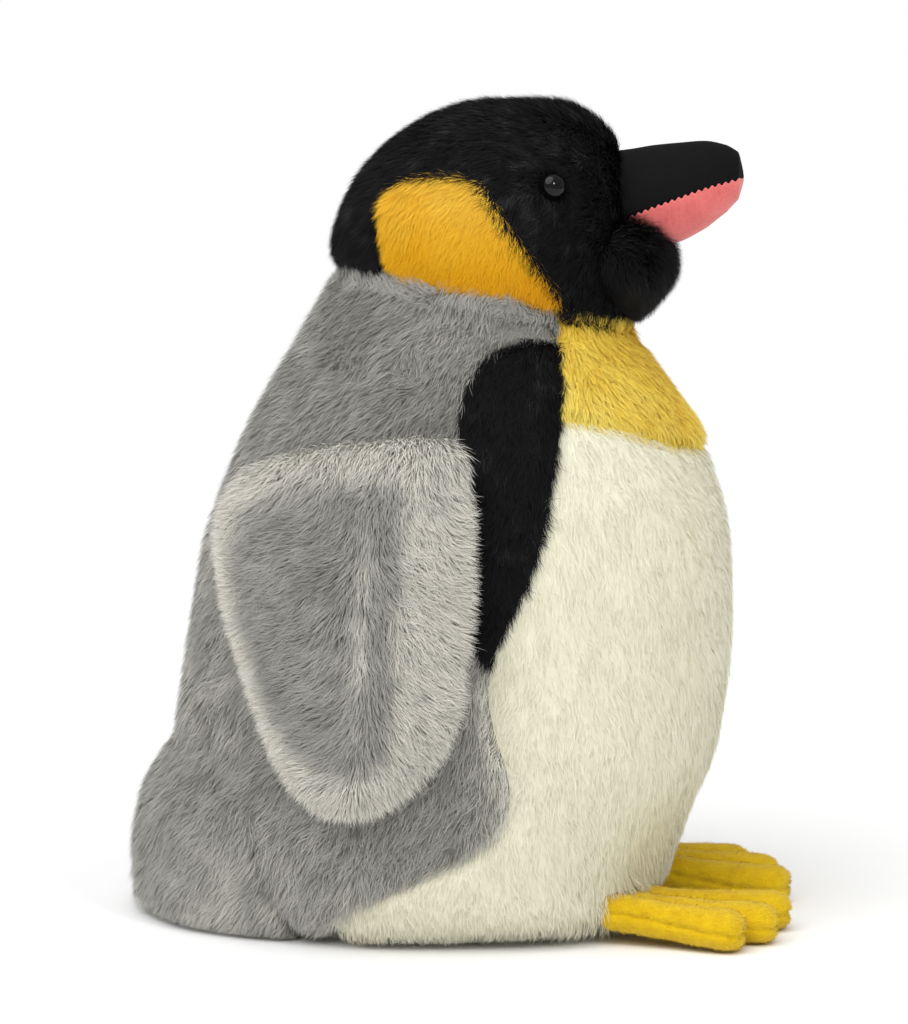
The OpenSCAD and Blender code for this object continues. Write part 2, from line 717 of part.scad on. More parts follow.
module torso_form(grow) {
    ring_solid([for (r = [0, each core_rows]) closed_ring(torso, r, -grow)]);
}
foot_fabric = fabric * 0.6;
module foot_half(side, up) {
    color(fleece_yellow)
        on_side(side)
            difference() {
                foot_form(0);
                foot_form(foot_fabric);
                torso_form(foot_gap);
                translate([-100, -300, up ? -100 + foot_mid + seam_half : foot_mid - seam_half])
                    cube([300, 400, 100]);
            }
}
module foot_fill(side) {
    color(filling)
        on_side(side)
            difference() {
                foot_form(foot_fabric + layer_gap);
                torso_form(foot_gap + layer_gap);
            }
}
module foot_left_upper() { foot_half(1, true); }
module foot_left_sole() { foot_half(1, false); }
module foot_left_stuffing() { foot_fill(1); }
module foot_right_upper() { foot_half(-1, true); }
module foot_right_sole() { foot_half(-1, false); }
module foot_right_stuffing() { foot_fill(-1); }

// ---- the whole part --------------------------------------------------------------

body_stuffing();
back_left();
back_right();
belly_panel();
chest_panel();
stripe_left();
stripe_right();
base_panel();
tail_skin();
tail_stuffing();
head_side_left();
head_side_right();
head_gusset();
cheek_left();
cheek_right();
head_stuffing();
chin_skin();
chin_stuffing();
beak_upper();
beak_lower();
beak_stuffing();
eye_left();
eye_right();
eye_washer_left();
eye_washer_right();
flipper_left_outer();
flipper_left_inner();
flipper_left_stuffing();
flipper_right_outer();
flipper_right_inner();
flipper_right_stuffing();
foot_left_upper();
foot_left_sole();
foot_left_stuffing();
foot_right_upper();
foot_right_sole();
foot_right_stuffing();
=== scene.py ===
"""The plush penguin's looks: every fabric panel is a shaped skin that carries its own pile."""

import math

import bpy
import numpy as np
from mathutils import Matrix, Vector


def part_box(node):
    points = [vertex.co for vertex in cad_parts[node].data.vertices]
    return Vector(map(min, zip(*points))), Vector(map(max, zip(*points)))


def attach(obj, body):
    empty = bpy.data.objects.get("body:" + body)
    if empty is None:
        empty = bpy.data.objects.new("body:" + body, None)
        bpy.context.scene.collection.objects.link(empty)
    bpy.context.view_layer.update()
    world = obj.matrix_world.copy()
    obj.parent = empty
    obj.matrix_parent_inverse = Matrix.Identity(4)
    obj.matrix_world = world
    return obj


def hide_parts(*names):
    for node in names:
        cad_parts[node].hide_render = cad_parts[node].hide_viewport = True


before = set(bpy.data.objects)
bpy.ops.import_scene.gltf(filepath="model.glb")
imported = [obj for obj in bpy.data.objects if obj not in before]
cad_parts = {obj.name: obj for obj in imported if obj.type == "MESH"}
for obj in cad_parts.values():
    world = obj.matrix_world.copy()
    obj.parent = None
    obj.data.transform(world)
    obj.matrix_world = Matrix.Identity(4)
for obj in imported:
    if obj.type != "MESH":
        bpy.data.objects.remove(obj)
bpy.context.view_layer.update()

MM = 0.001
scene = bpy.context.scene

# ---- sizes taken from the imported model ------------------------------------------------

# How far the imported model's own sizes are from those that the profiles are drawn at.
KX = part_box("back_left")[1].x / (83.8 * MM)
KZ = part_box("head_gusset")[1].z / (284.48 * MM)
KY = (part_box("back_left")[1].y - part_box("belly_panel")[0].y) / (195.3 * MM)

# Rings of the torso from the floor up: [back y, back z, front y, front z, half width].
TORSO = np.array([
    [70, 0, -46, 0, 62], [78, 3, -57, 3, 70], [83.5, 8, -66, 8, 75], [89, 15, -72.5, 15, 79],
    [97, 26, -75.5, 26, 82], [101.5, 40, -80, 40, 83.5], [102.5, 54, -85.5, 54, 84],
    [101, 70, -90, 70, 83.5], [97.5, 90, -92.7, 90, 82], [94.3, 110, -93.2, 110, 80],
    [91, 128, -92.8, 128, 77.5], [85.5, 146, -90.5, 146, 73.5], [79, 163, -86.3, 160, 69],
    [72, 179, -82, 173, 64], [63, 195, -74, 185, 58.5], [54, 210, -66, 196, 53],
    [47, 221, -60.5, 203, 49], [42.3, 228, -58, 205.5, 47],
]) * MM
# Rings of the head from the neck seam up to the crown.
SKULL = np.array([
    [42.3, 228, -58, 205.5, 46.5], [43.5, 235.5, -59, 217.5, 47.5], [42.5, 243.5, -60, 229.5, 48],
    [39, 252.5, -59.5, 241.5, 47], [34, 260.5, -58, 252.5, 44.5], [27.5, 268, -56, 262.5, 40],
    [20, 274, -52.5, 271, 34], [11, 279, -46.5, 277.5, 27], [0.5, 282.5, -37, 282.3, 18],
    [-10, 283.9, -26, 283.9, 7],
]) * MM
TORSO *= [KY, KZ, KY, KZ, KX]
SKULL *= [KY, KZ, KY, KZ, KX]
NECK_UP = np.array([0, -0.218887, 0.97575])
# The head's skin stands this far off the neck seam; the back and the chest rise to it.
LIFT = 0.6 * MM * NECK_UP
NECK_RISE = 3.0 * MM
# The backing cloth lies this far under a panel's surface and is this thick.
SKIN_DEPTH = 2.0 * MM
SKIN_THICK = 0.5 * MM
FLOOR_CLEAR = 0.5 * MM
BODY_HAIR, HEAD_HAIR = 0.21 * MM, 0.23 * MM

# Seams of the torso, as rows and the angles from the front that they pass through.
FRONT_SEAM = np.array([
    [0, 116], [2, 112], [3.4, 103], [4.3, 80], [4.9, 68.5], [6, 68], [7.2, 75], [8, 79.5],
    [8.4, 79.5], [8.7, 77.5], [9.2, 74.5], [10.1, 70.5], [11, 68], [12.3, 65.5], [13.4, 63],
    [15.6, 54], [17, 52],
])
STRIPE_SEAM = np.array([
    [8.4, 79.5], [8.7, 81.2], [9.8, 85.5], [11.4, 89.3], [13.3, 89.5], [14.1, 88], [14.9, 82],
    [15.3, 72], [15.6, 54],
])
CHEST_SEAM = np.array([[0, 12.5], [8, 12.55], [26, 12.7], [41, 13], [53, 13.25], [64, 13.4]])
STRIPE_LOW, STRIPE_HIGH, TOP_ROW, CROWN_ROW = 8.45, 15.55, 17, 9
GUSSET_HALF = 14 * MM
EYE_ROW, EYE_ANGLE, EYE_R = 4.04, 60.5, 5 * MM

CHEEK_OUTLINE = np.array([
    [24, 242.6], [22.6, 250.9], [15.4, 256.9], [3, 258.3], [-9, 256.5], [-14, 250.7],
    [-19.2, 242.4], [-27.6, 230.8], [-37.2, 215.6], [-24.2, 219], [-7.6, 220.7], [6.2, 222.5],
    [16.7, 225], [22, 232.4],
]) * MM * [KY, KZ]
CHEEK_MIDDLE = np.array([-3, 238]) * MM * [KY, KZ]
CHEEK_LOWER = CHEEK_OUTLINE[[8, 9, 10, 11, 12, 13]].T

FLIPPER_OUTLINE = np.array([
    [44.5, 42.5], [38.5, 50.5], [17, 57.3], [-10, 61.3], [-27, 62.8], [-35.7, 60.8],
    [-39.2, 54.5], [-41, 37], [-43, 11], [-41.6, -13.5], [-39, -32.5], [-31.6, -45.2],
    [-19.5, -56.5], [-7, -61.3], [5.6, -59.2], [14, -51.6], [21.4, -40], [31.6, -17.5],
    [42, 7], [46.8, 26.5], [46.6, 36],
]) * MM
FLIPPER_ANCHOR = np.array([75.65, 31.08, 109.91]) * MM
FLIPPER_TURN, FLIPPER_LEAN = math.radians(15), math.radians(8)
FLIPPER_BACK = np.array([-math.sin(FLIPPER_TURN), math.cos(FLIPPER_TURN), 0])
FLIPPER_OUT = np.array([
    math.cos(FLIPPER_LEAN) * math.cos(FLIPPER_TURN),
    math.cos(FLIPPER_LEAN) * math.sin(FLIPPER_TURN),
    math.sin(FLIPPER_LEAN),
])
FLIPPER_UP = np.cross(FLIPPER_OUT, FLIPPER_BACK)
FLIPPER_OFFSET = 7.598 * MM
# The pile parts and the fold runs this far in front of the flipper's middle.
FLIPPER_PART = -11 * MM
FLIPPER_EDGE, FLIPPER_MIDDLE = 1.3, 6.5
FLIPPER_BEND, FLIPPER_DROOP = 0.150, 0.420

BEAK_PROFILE = np.array([
    [-0.16, 268.5, 242, 236, 1], [0, 269, 244.5, 235.5, 1], [0.22, 270.4, 248, 235.5, 0.96],
    [0.46, 271.3, 251.6, 237.5, 0.88], [0.68, 271.8, 254.8, 242.2, 0.75],
    [0.85, 270.3, 256.8, 247.6, 0.56], [0.95, 267.8, 258, 252, 0.37],
    [0.995, 263.8, 259, 256, 0.16],
])
# Waves along the lip of the lower beak, and where the beak starts, ends and rounds off.
SCALLOPS = 41 / 2.3
BEAK_FROM, BEAK_SPAN = -0.16, 1.155
TIP_FROM, TIP_SPAN = 0.955, 0.0452
BEAK_ROOT_Y = -57.5 * MM * KY
BEAK_LENGTH = BEAK_ROOT_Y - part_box("beak_upper")[0].y
BEAK_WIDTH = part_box("beak_upper")[1].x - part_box("beak_upper")[0].x
CHIN_MIDDLE = np.array([0, -53.4, 229.6]) * MM
CHIN_RADII = np.array([29, 18.6, 17]) * MM
TAIL_REACH = np.array([
    [0, 35], [1, 33], [2, 30.5], [3, 25.5], [4, 17.5], [5, 10.5], [6, 4.2], [6.6, 0.6],
])
TAIL_TOP, TAIL_SPREAD, TAIL_EDGE = 6.6, 55, 0.985
# Toes: sideways at the root, sideways at the tip, reach. The outer toe is first.
TOES = [[8, 19, 0.84], [1, 3, 1.02], [-8, -21, 1.09]]
FOOT_SPREAD = 42 * MM
FOOT_ROOT_Y = -52 * MM * KY
TOE_REACH = 59.6 * MM
TOE_WIDTH = 17 * MM
FOOT_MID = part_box("foot_left_upper")[1].z / 2

# ---- small maths ----------------------------------------------------------------------


def unit(v):
    """Each vector divided by its own length."""
    return v / np.maximum(np.linalg.norm(v, axis=-1, keepdims=True), 1e-12)


def smooth(x, low, high):
    """0 below low, 1 above high, and the cubic 3t^2 - 2t^3 between."""
    t = np.clip((x - low) / (high - low), 0, 1)
    return t * t * (3 - 2 * t)


def cloud(p, size, seed):
    """Noise from -1 to 1: random values on a cubic lattice of the given size, each point
    blending its eight neighbours by the cubic 3t^2 - 2t^3 along each axis."""
    table = np.random.default_rng(seed).uniform(-1, 1, 4096)
    q = p / size + 100
    cell = np.floor(q).astype(np.int64)
    f = q - cell
    f = f * f * (3 - 2 * f)
    total = np.zeros(p.shape[:-1])
    for corner in np.ndindex(2, 2, 2):
        c = cell + corner
        key = (c[..., 0] * 73856093 ^ c[..., 1] * 19349663 ^ c[..., 2] * 83492791) & 4095
        share = np.prod(np.where(np.array(corner) == 1, f, 1 - f), axis=-1)
        total += share * table[key]
    return total


def swirl(p, size, seed):
    """A smooth random vector field: three noises, one for each direction."""
    return np.stack([cloud(p, size, seed + k) for k in range(3)], -1)


def catmull(rows, r):
    """Rows blended at places r by a Catmull-Rom spline."""
    n = len(rows)
    r = np.asarray(r, float)
    i = np.clip(np.floor(r).astype(int), 0, n - 2)
    t = (r - i)[..., None]
    a, b = rows[np.maximum(i - 1, 0)], rows[i]
    c, d = rows[i + 1], rows[np.minimum(i + 2, n - 1)]
    return 0.5 * (2 * b + (c - a) * t + (2 * a - 5 * b + 4 * c - d) * t * t
                  + (3 * b - a - 3 * c + d) * t ** 3)


def loop_at(outline, t):
    """A closed outline at places t from 0 to 1 round it, by a Catmull-Rom spline."""
    n = len(outline)
    t = np.asarray(t, float) % 1 * n
    i = np.floor(t).astype(int)
    f = (t - i)[..., None]
    a, b, c, d = (outline[(i + k) % n] for k in (-1, 0, 1, 2))
    return 0.5 * (2 * b + (c - a) * f + (2 * a - 5 * b + 4 * c - d) * f * f
                  + (3 * b - a - 3 * c + d) * f ** 3)


def ring_skin(rings, r, angle):
    """The lofted surface: at row r an ellipse through a back and a front point, its half
    width across, taken at an angle in degrees from the front towards +X."""
    g = catmull(rings, r)
    s, c = np.sin(np.radians(angle)), np.cos(np.radians(angle))
    return np.stack([
        g[..., 4] * s,
        (g[..., 0] + g[..., 2]) / 2 + (g[..., 2] - g[..., 0]) / 2 * c,
        (g[..., 1] + g[..., 3]) / 2 + (g[..., 3] - g[..., 1]) / 2 * c,
    ], -1)


def skull_place(y, z):
    """Row and angle where the skull's side passes through (y, z), by halving the row range
    forty times; the angle follows from y at that row."""
    low, high = np.zeros(np.shape(y)), np.full(np.shape(y), 9.0)
    for _ in range(40):
        mid = (low + high) / 2
        g = catmull(SKULL, mid)
        c = np.clip((y - (g[..., 0] + g[..., 2]) / 2) / ((g[..., 2] - g[..., 0]) / 2), -1, 1)
        height = (g[..., 1] + g[..., 3]) / 2 + (g[..., 3] - g[..., 1]) / 2 * c
        low, high = np.where(height < z, mid, low), np.where(height < z, high, mid)
    return mid, np.degrees(np.arccos(c))


def frame_of(point, u, v, facing=1):
    """The surface's point, outward normal and area element at (u, v), by differences of a
    thousandth in each parameter."""
    e = 1e-3
    du = point(u + e, v) - point(u - e, v)
    dv = point(u, v + e) - point(u, v - e)
    cross = np.cross(du, dv) * facing
    return point(u, v), unit(cross), np.linalg.norm(cross, axis=-1) / (4 * e * e)


# ---- meshes ---------------------------------------------------------------------------


def grid_shell(outer, inner):
    """Points and faces of a closed sheet: an outer grid, an inner grid, and a rim."""
    nr, nc = outer.shape[:2]
    m = nr * nc
    k = np.arange(m).reshape(nr, nc)
    top = np.stack([k[:-1, :-1], k[:-1, 1:], k[1:, 1:], k[1:, :-1]], -1).reshape(-1, 4)
    edge = np.concatenate([k[0], k[1:, -1], k[-1, -2::-1], k[-2::-1, 0]])
    a, b = edge[:-1], edge[1:]
    rim = np.stack([b, a, a + m, b + m], -1)
    return (np.concatenate([outer.reshape(-1, 3), inner.reshape(-1, 3)]),
            np.concatenate([top, top[:, ::-1] + m, rim]), np.zeros((0, 3), int))


def ring_shell(rings, facing=1):
    """Points and faces of a stack of closed rings, with a fan over each end."""
    nr, nc = rings.shape[:2]
    k = np.arange(nr * nc).reshape(nr, nc)
    n = np.roll(k, -1, 1)
    quads = np.stack([k[:-1], n[:-1], n[1:], k[1:]], -1).reshape(-1, 4)
    low, high = nr * nc, nr * nc + 1
    fans = np.concatenate([
        np.stack([np.full(nc, low), n[0], k[0]], -1),
        np.stack([np.full(nc, high), k[-1], n[-1]], -1),
    ])
    points = np.concatenate([rings.reshape(-1, 3), [rings[0].mean(0)], [rings[-1].mean(0)]])
    if facing < 0:
        quads, fans = quads[:, ::-1], fans[:, ::-1]
    return points, quads, fans


def make_piece(name, points, quads, tris, uv=None, normals=None, material=None):
    """A mesh object from whole arrays of points, four-sided and three-sided faces."""
    mesh = bpy.data.meshes.new(name)
    loops = np.concatenate([quads.ravel(), tris.ravel()]).astype(np.int32)
    starts = np.concatenate([
        np.arange(len(quads)) * 4, len(quads) * 4 + np.arange(len(tris)) * 3,
    ]).astype(np.int32)
    mesh.vertices.add(len(points))
    mesh.vertices.foreach_set("co", points.astype(np.float32).ravel())
    mesh.loops.add(len(loops))
    mesh.loops.foreach_set("vertex_index", loops)
    mesh.polygons.add(len(starts))
    mesh.polygons.foreach_set("loop_start", starts)
    mesh.polygons.foreach_set("use_smooth", np.ones(len(starts), bool))
    mesh.update(calc_edges=True)
    if uv is not None:
        mesh.uv_layers.new(name="OFBake").data.foreach_set(
            "uv", uv[loops].astype(np.float32).ravel())
    if normals is not None:
        mesh.normals_split_custom_set_from_vertices(normals.astype(np.float32))
    if material is not None:
        mesh.materials.append(material)
    obj = bpy.data.objects.new(name, mesh)
    scene.collection.objects.link(obj)
    return obj


def vertex_normals(points, quads, tris):
    """The area-weighted mean of the normals of the faces round each point."""
    total = np.zeros_like(points)
    for faces in (quads, tris):
        if len(faces):
            a, b, c = points[faces[:, 0]], points[faces[:, 1]], points[faces[:, 2]]
            n = np.cross(b - a, c - a)
            for k in range(faces.shape[1]):
                np.add.at(total, faces[:, k], n)
    return unit(total)


def pile(rng, root, normal, lie, length, lean, width, shade, ruffle=0.25):
    """Hairs as ribbons of one four-sided and one three-sided face. A hair leaves the skin
    between the normal and the lie of the pile, bends over to the lie by its tip, and its
    flat side is turned a random amount about its own line. Returns points, faces, shade and
    place along the hair, and normals that lean towards the skin's own."""
    n = len(root)
    lie = unit(lie + swirl(root, 11 * MM, 11) * ruffle + swirl(root, 4 * MM, 23) * ruffle * 0.8
               + rng.normal(0, 0.26, (n, 3)))
    lie = unit(lie - normal * np.sum(lie * normal, -1, keepdims=True) * 0.9)
    lean = np.clip(lean + rng.normal(0, 0.05, n), 0.05, 0.97)[:, None]
    length = (length * rng.uniform(0.72, 1.12, n))[:, None]
    first = unit(normal * (1 - 0.62 * lean) + lie * 0.62 * lean)
    second = unit(normal * (1 - lean) * 0.8 + lie * lean)
    mid = root + first * length * 0.45
    tip = mid + second * length * 0.55
    for p in (root, mid, tip):
        p[:, 2] = np.maximum(p[:, 2], FLOOR_CLEAR)
    flat = unit(np.cross(second, normal))
    roll = rng.uniform(-0.9, 0.9, n)[:, None]
    rise = unit(np.cross(flat, second))
    side = flat * np.cos(roll) + rise * np.sin(roll)
    w = width * rng.uniform(0.75, 1.25, n)[:, None] / 2
    points = np.stack([root - side * w, root + side * w, mid - side * w * 0.85,
                       mid + side * w * 0.85, tip], 1)
    base = np.arange(n)[:, None] * 5
    quads = base + np.array([0, 1, 3, 2])
    tris = base + np.array([2, 3, 4])
    along = np.tile([0, 0, 0.5, 0.5, 1.0], (n, 1))
    uv = np.stack([np.repeat(shade[:, None], 5, 1), along], -1)
    ribbon = unit(np.cross(side, second))
    soft = unit(normal * 0.8 + ribbon * 0.35 + rng.normal(0, 0.1, (n, 3)))
    return (points.reshape(-1, 3), quads, tris, uv.reshape(-1, 2),
            np.repeat(soft, 5, 0))


def furred(name, shell, hairs, skin_shade, material, body, nodes, depth=0.04):
    """One piece of pile fabric: its skin and all of its hairs in one mesh. depth is how far
    up a hair the skin's own tone is taken from; below 0.6 of the way it carries part of the
    painted root shade."""
    points, quads, tris = shell
    parts = [points], [quads], [tris]
    count = len(points)
    uvs = [np.column_stack([np.full(count, skin_shade), np.full(count, depth)])]
    normals = [vertex_normals(points, quads, tris)]
    start = len(points)
    for p, q, t, uv, nrm in hairs:
        parts[0].append(p)
        parts[1].append(q + start)
        parts[2].append(t + start)
        uvs.append(uv)
        normals.append(nrm)
        start += len(p)
    uv = np.clip(np.concatenate(uvs), 0.002, 0.998)
    obj = make_piece(name, *(np.concatenate(x) for x in parts), uv=uv,
                     normals=np.concatenate(normals), material=material)
    return settle(obj, body, nodes)


def settle(obj, body, nodes):
    """The piece rides on its body and stands for its CAD nodes, which it hides."""
    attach(obj, body)
    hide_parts(*nodes)
    return obj


def scatter(rng, point, count, facing=1, keep=None):
    """Places spread evenly over a surface: a two-way golden sequence over its parameters,
    thinned by the area that each stands for."""
    k = np.arange(int(count * 3.2)) + rng.uniform(0, 1)
    u, v = k * 0.7548776662 % 1, k * 0.5698402910 % 1
    p, n, area = frame_of(point, u, v, facing)
    chosen = rng.uniform(0, 1, len(u)) < area / np.quantile(area, 0.995)
    if keep is not None:
        chosen &= keep(p, u, v)
    index = np.flatnonzero(chosen)
    if len(index) > count:
        index = index[np.sort(rng.permutation(len(index))[:count])]
    return p[index], n[index], u[index], v[index]


# ---- torso ----------------------------------------------------------------------------

def front_seam(r):
    """The belly's side edge: a broken line through its places, rounded by a running mean
    over two thirds of a row to each side."""
    steps = (-0.66, -0.33, 0.0, 0.33, 0.66)
    return sum(np.interp(r + s, FRONT_SEAM[:, 0], FRONT_SEAM[:, 1]) for s in steps) / len(steps)


def back_edge(r):
    """The back panel's front edge: the stripe's seam beside the stripe, else the belly's."""
    beside = (r > STRIPE_LOW) & (r < STRIPE_HIGH)
    return np.where(beside, np.interp(r, STRIPE_SEAM[:, 0], STRIPE_SEAM[:, 1]), front_seam(r))


def ring_normal(rings, r, a, last):
    """Outward direction of a skin over rings: its slope along times its slope up."""
    low, high = np.clip(r - 0.2, 0, last), np.clip(r + 0.2, 0, last)
    along = ring_skin(rings, r, a + 2) - ring_skin(rings, r, a - 2)
    return unit(np.cross(along, ring_skin(rings, high, a) - ring_skin(rings, low, a)))


def neck_rise(r):
    """The last rows of a torso panel drawn up to the head, to close the neck seam."""
    return NECK_RISE * smooth(r, TOP_ROW - 1.2, TOP_ROW)


def valley(x, width):
    """A bell curve: 1 at x = 0, falling off as exp(-(x / width)^2)."""
    return np.exp(-(x / width) ** 2)


def torso_swell(r, a):
    """Outward rise of the stuffed body: soft lumps, a haunch and a thigh low on each side, a
    paunch in front, a fold over the tail and one between tail and haunch, and the seams
    pulled in."""
    p = ring_skin(TORSO, r, a)
    angle = np.abs((a + 180) % 360 - 180)
    lumps = 0.9 * cloud(p, 34 * MM, 5) + 0.4 * cloud(p, 15 * MM, 6)
    haunch = 2.2 * valley(r - 3.2, 1.7) * valley(angle - 100, 24)
    fold = -0.5 * valley(r - 6.6 - 0.012 * (angle - 150), 0.45) * smooth(angle, 104, 135)
    groin = -2.4 * valley(angle - 126 - 3 * r, 6) * smooth(r, 5.4, 3.6)
    thigh = 1.6 * valley(r - 3.0, 1.3) * valley(angle - 62, 14) \
        + 4.5 * valley(r - 2.5, 1.1) * valley(angle - 42, 17)
    paunch = 2.2 * smooth(angle, 66, 30) * smooth(r, 2.5, 6) * smooth(r, 13, 10)
    seam = -1.5 * valley(angle - back_edge(r), 4.5) - 1.1 * valley(angle - front_seam(r), 3.5)
    chest = -1.5 * valley(r - np.interp(angle, CHEST_SEAM[:, 0], CHEST_SEAM[:, 1]), 0.22) \
        * smooth(angle, 66, 60)
    return (lumps + haunch + fold + groin + thigh + paunch + seam + chest) * MM


def torso_point(r, a, depth=0.0):
    """The torso's surface moved outwards by its swell and inwards by a depth."""
    out = (torso_swell(r, a) - depth)[..., None]
    return ring_skin(TORSO, r, a) + ring_normal(TORSO, r, a, TOP_ROW) * out


def shell_of(point_at, nu, nv):
    """A closed thin sheet over a surface given as point_at(u, v, depth)."""
    v, u = np.meshgrid(np.linspace(0, 1, nv), np.linspace(0, 1, nu), indexing="ij")
    outer = point_at(u, v, SKIN_DEPTH)
    inner = point_at(u, v, SKIN_DEPTH + SKIN_THICK)
    outer[..., 2] = np.maximum(outer[..., 2], FLOOR_CLEAR)
    inner[..., 2] = np.maximum(inner[..., 2], FLOOR_CLEAR * 1.2)
    return grid_shell(outer, inner)


def down_lie(p, normal, away):
    """The lie of the pile: downwards along the skin, with a share in another direction."""
    lie = np.array([0, 0, -1.0]) + away
    return unit(lie - normal * np.sum(lie * normal, -1, keepdims=True))


def back_point(side):
    """The back of one side: u from the front edge to the middle of the back on the left,
    and the other way on the right, v from the floor to the neck, where its edge rises."""
    def point(u, v, depth=0.0):
        r = np.clip(v, 0, 1) * TOP_ROW
        front = back_edge(r)
        a = front + (180 - front) * u if side > 0 else -180 + (180 - front) * u
        rise = neck_rise(r) * smooth(np.abs(a), 140, 100)
        return torso_point(r, a, np.zeros(np.shape(u)) + depth) + rise[..., None] * [0, 0, 1]
    return point


def stripe_point(side):
    """The stripe: between the belly's edge and its own seam, from its tip to the neck."""
    def point(u, v, depth=0.0):
        r = STRIPE_LOW + (STRIPE_HIGH - STRIPE_LOW) * np.clip(v, 0, 1)
        front = front_seam(r)
        rear = np.maximum(np.interp(r, STRIPE_SEAM[:, 0], STRIPE_SEAM[:, 1]), front + 0.3)
        a = front + (rear - front) * u if side > 0 else -rear + (rear - front) * u
        return torso_point(r, a, np.zeros(np.shape(u)) + depth)
    return point


def chest_row(f):
    """Row of the seam between belly and chest at a part f of the half width."""
    return np.interp(np.abs(f) * 63, CHEST_SEAM[:, 0], CHEST_SEAM[:, 1])


def belly_point(u, v, depth=0.0):
    """The belly: across from edge to edge by u, from the floor to the chest seam by v."""
    f = np.clip(2 * u - 1, -1.01, 1.01)
    r = np.clip(v, 0, 1) * chest_row(f)
    return torso_point(r, f * front_seam(r), np.zeros(np.shape(u)) + depth)


def chest_point(u, v, depth=0.0):
    """The chest: from its seam with the belly to the neck, where its edge rises."""
    f = np.clip(2 * u - 1, -1.01, 1.01)
    low = chest_row(f)
    r = low + np.clip(v, 0, 1) * (TOP_ROW - low)
    p = torso_point(r, f * front_seam(r), np.zeros(np.shape(u)) + depth)
    return p + neck_rise(r)[..., None] * [0, 0, 1]


def tail_point(u, v, depth=0.0):
    """The tail: the body's back with a bump added outwards, highest in the middle and
    falling off as the 0.9 power of a cosine to each side and by its reach upwards."""
    r = np.clip(v, 0, 1) * TAIL_TOP
    f = TAIL_EDGE * np.clip(2 * u - 1, -1, 1)
    a = 180 + f * TAIL_SPREAD
    bump = np.interp(r, TAIL_REACH[:, 0], TAIL_REACH[:, 1]) * MM * KY \
        * np.cos(np.pi / 2 * f) ** 0.9
    s, c = np.sin(np.radians(a)), np.cos(np.radians(a))
    d = unit(np.stack([0.5 * s, -c, np.zeros(np.shape(a))], -1))
    body = ring_skin(TORSO, r, a)
    ease = 2.6 * MM * smooth(r, 5.2, TAIL_TOP)
    lumps = 0.9 * MM * cloud(body, 22 * MM, 9)
    return body + d * (bump - depth + lumps - ease)[..., None]


# ---- head -----------------------------------------------------------------------------


def skull_point(r, a, depth=0.0):
    """The skull's surface, lifted off the neck seam and moved inwards by a depth, with soft
    lumps and the brow drawn in over each eye."""
    r = np.clip(r, 0, CROWN_ROW)
    p = ring_skin(SKULL, r, a)
    angle = np.abs((a + 180) % 360 - 180)
    swell = 0.4 + 0.9 * cloud(p, 19 * MM, 15) + 0.45 * cloud(p, 9 * MM, 16)
    socket = -0.5 * valley(angle - EYE_ANGLE, 15) * valley(r - EYE_ROW, 0.9)
    out = ((swell + socket) * MM - depth)[..., None]
    return p + LIFT + ring_normal(SKULL, r, a, CROWN_ROW) * out


def gusset_angle(x, r):
    """Angle from the front at which the ring of row r is x wide."""
    return np.degrees(np.arcsin(np.clip(x / catmull(SKULL, r)[..., 4], -1, 1)))


def head_side_point(side):
    """The side of the head: rows from the neck to where the ring is as narrow as the strip
    over the crown, angles from that strip's front edge to its back edge."""
    top = 8.36

    def point(u, v, depth=0.0):
        r = np.clip(v, 0, 1) * top
        edge = gusset_angle(GUSSET_HALF, r)
        a = edge + (180 - 2 * edge) * u
        if side < 0:
            a = -(edge + (180 - 2 * edge) * (1 - u))
        return skull_point(r, a, np.zeros(np.shape(u)) + depth)
    return point


def gusset_point(u, v, depth=0.0):
    """The strip over the crown: from the front of the neck up the brow, across the crown and
    down the back of the head; over the crown the front and back points are blended."""
    x = GUSSET_HALF * np.clip(2 * u - 1, -1, 1)
    t = np.clip(2 * v - 1, -1, 1)
    rows = np.linspace(CROWN_ROW - 1, CROWN_ROW, 21)
    top = np.interp(-np.abs(x), -catmull(SKULL, rows)[:, 4], rows)
    r = top * np.clip((1 - np.abs(t)) / 0.9, 0, 1) ** 0.85
    a = gusset_angle(x, r)
    depth = np.zeros(np.shape(u)) + depth
    front, back = skull_point(r, a, depth), skull_point(r, 180 - a, depth)
    share = smooth(t, -0.1, 0.1)[..., None]
    return front * (1 - share) + back * share


def cheek_point(side):
    """The cheek: its outline drawn towards its middle by v, laid on the skull's side and
    raised by up to 1.4 mm in the middle."""
    def point(u, v, depth=0.0):
        v = np.clip(v, 0, 1)
        yz = CHEEK_MIDDLE + (loop_at(CHEEK_OUTLINE, u) - CHEEK_MIDDLE) * v[..., None]
        r, a = skull_place(yz[..., 0], yz[..., 1])
        rise = 1.8 * MM * np.sqrt(np.clip(1 - v ** 3, 0, 1)) - 0.4 * MM
        return skull_point(r, side * a, np.zeros(np.shape(u)) + depth - rise)
    return point


def inside_outline(p, outline, middle, grow):
    """True where (y, z) lies inside a star-shaped outline grown by a distance: its radius
    at the same bearing from the middle is looked up."""
    loop = loop_at(outline, np.linspace(0, 1, 400, endpoint=False)) - middle
    bearing = np.arctan2(loop[:, 1], loop[:, 0])
    order = np.argsort(bearing)
    reach = np.linalg.norm(loop, axis=-1)[order]
    q = p[..., 1:] - middle
    own = np.interp(np.arctan2(q[..., 1], q[..., 0]), bearing[order], reach, period=2 * np.pi)
    return np.linalg.norm(q, axis=-1) < own + grow


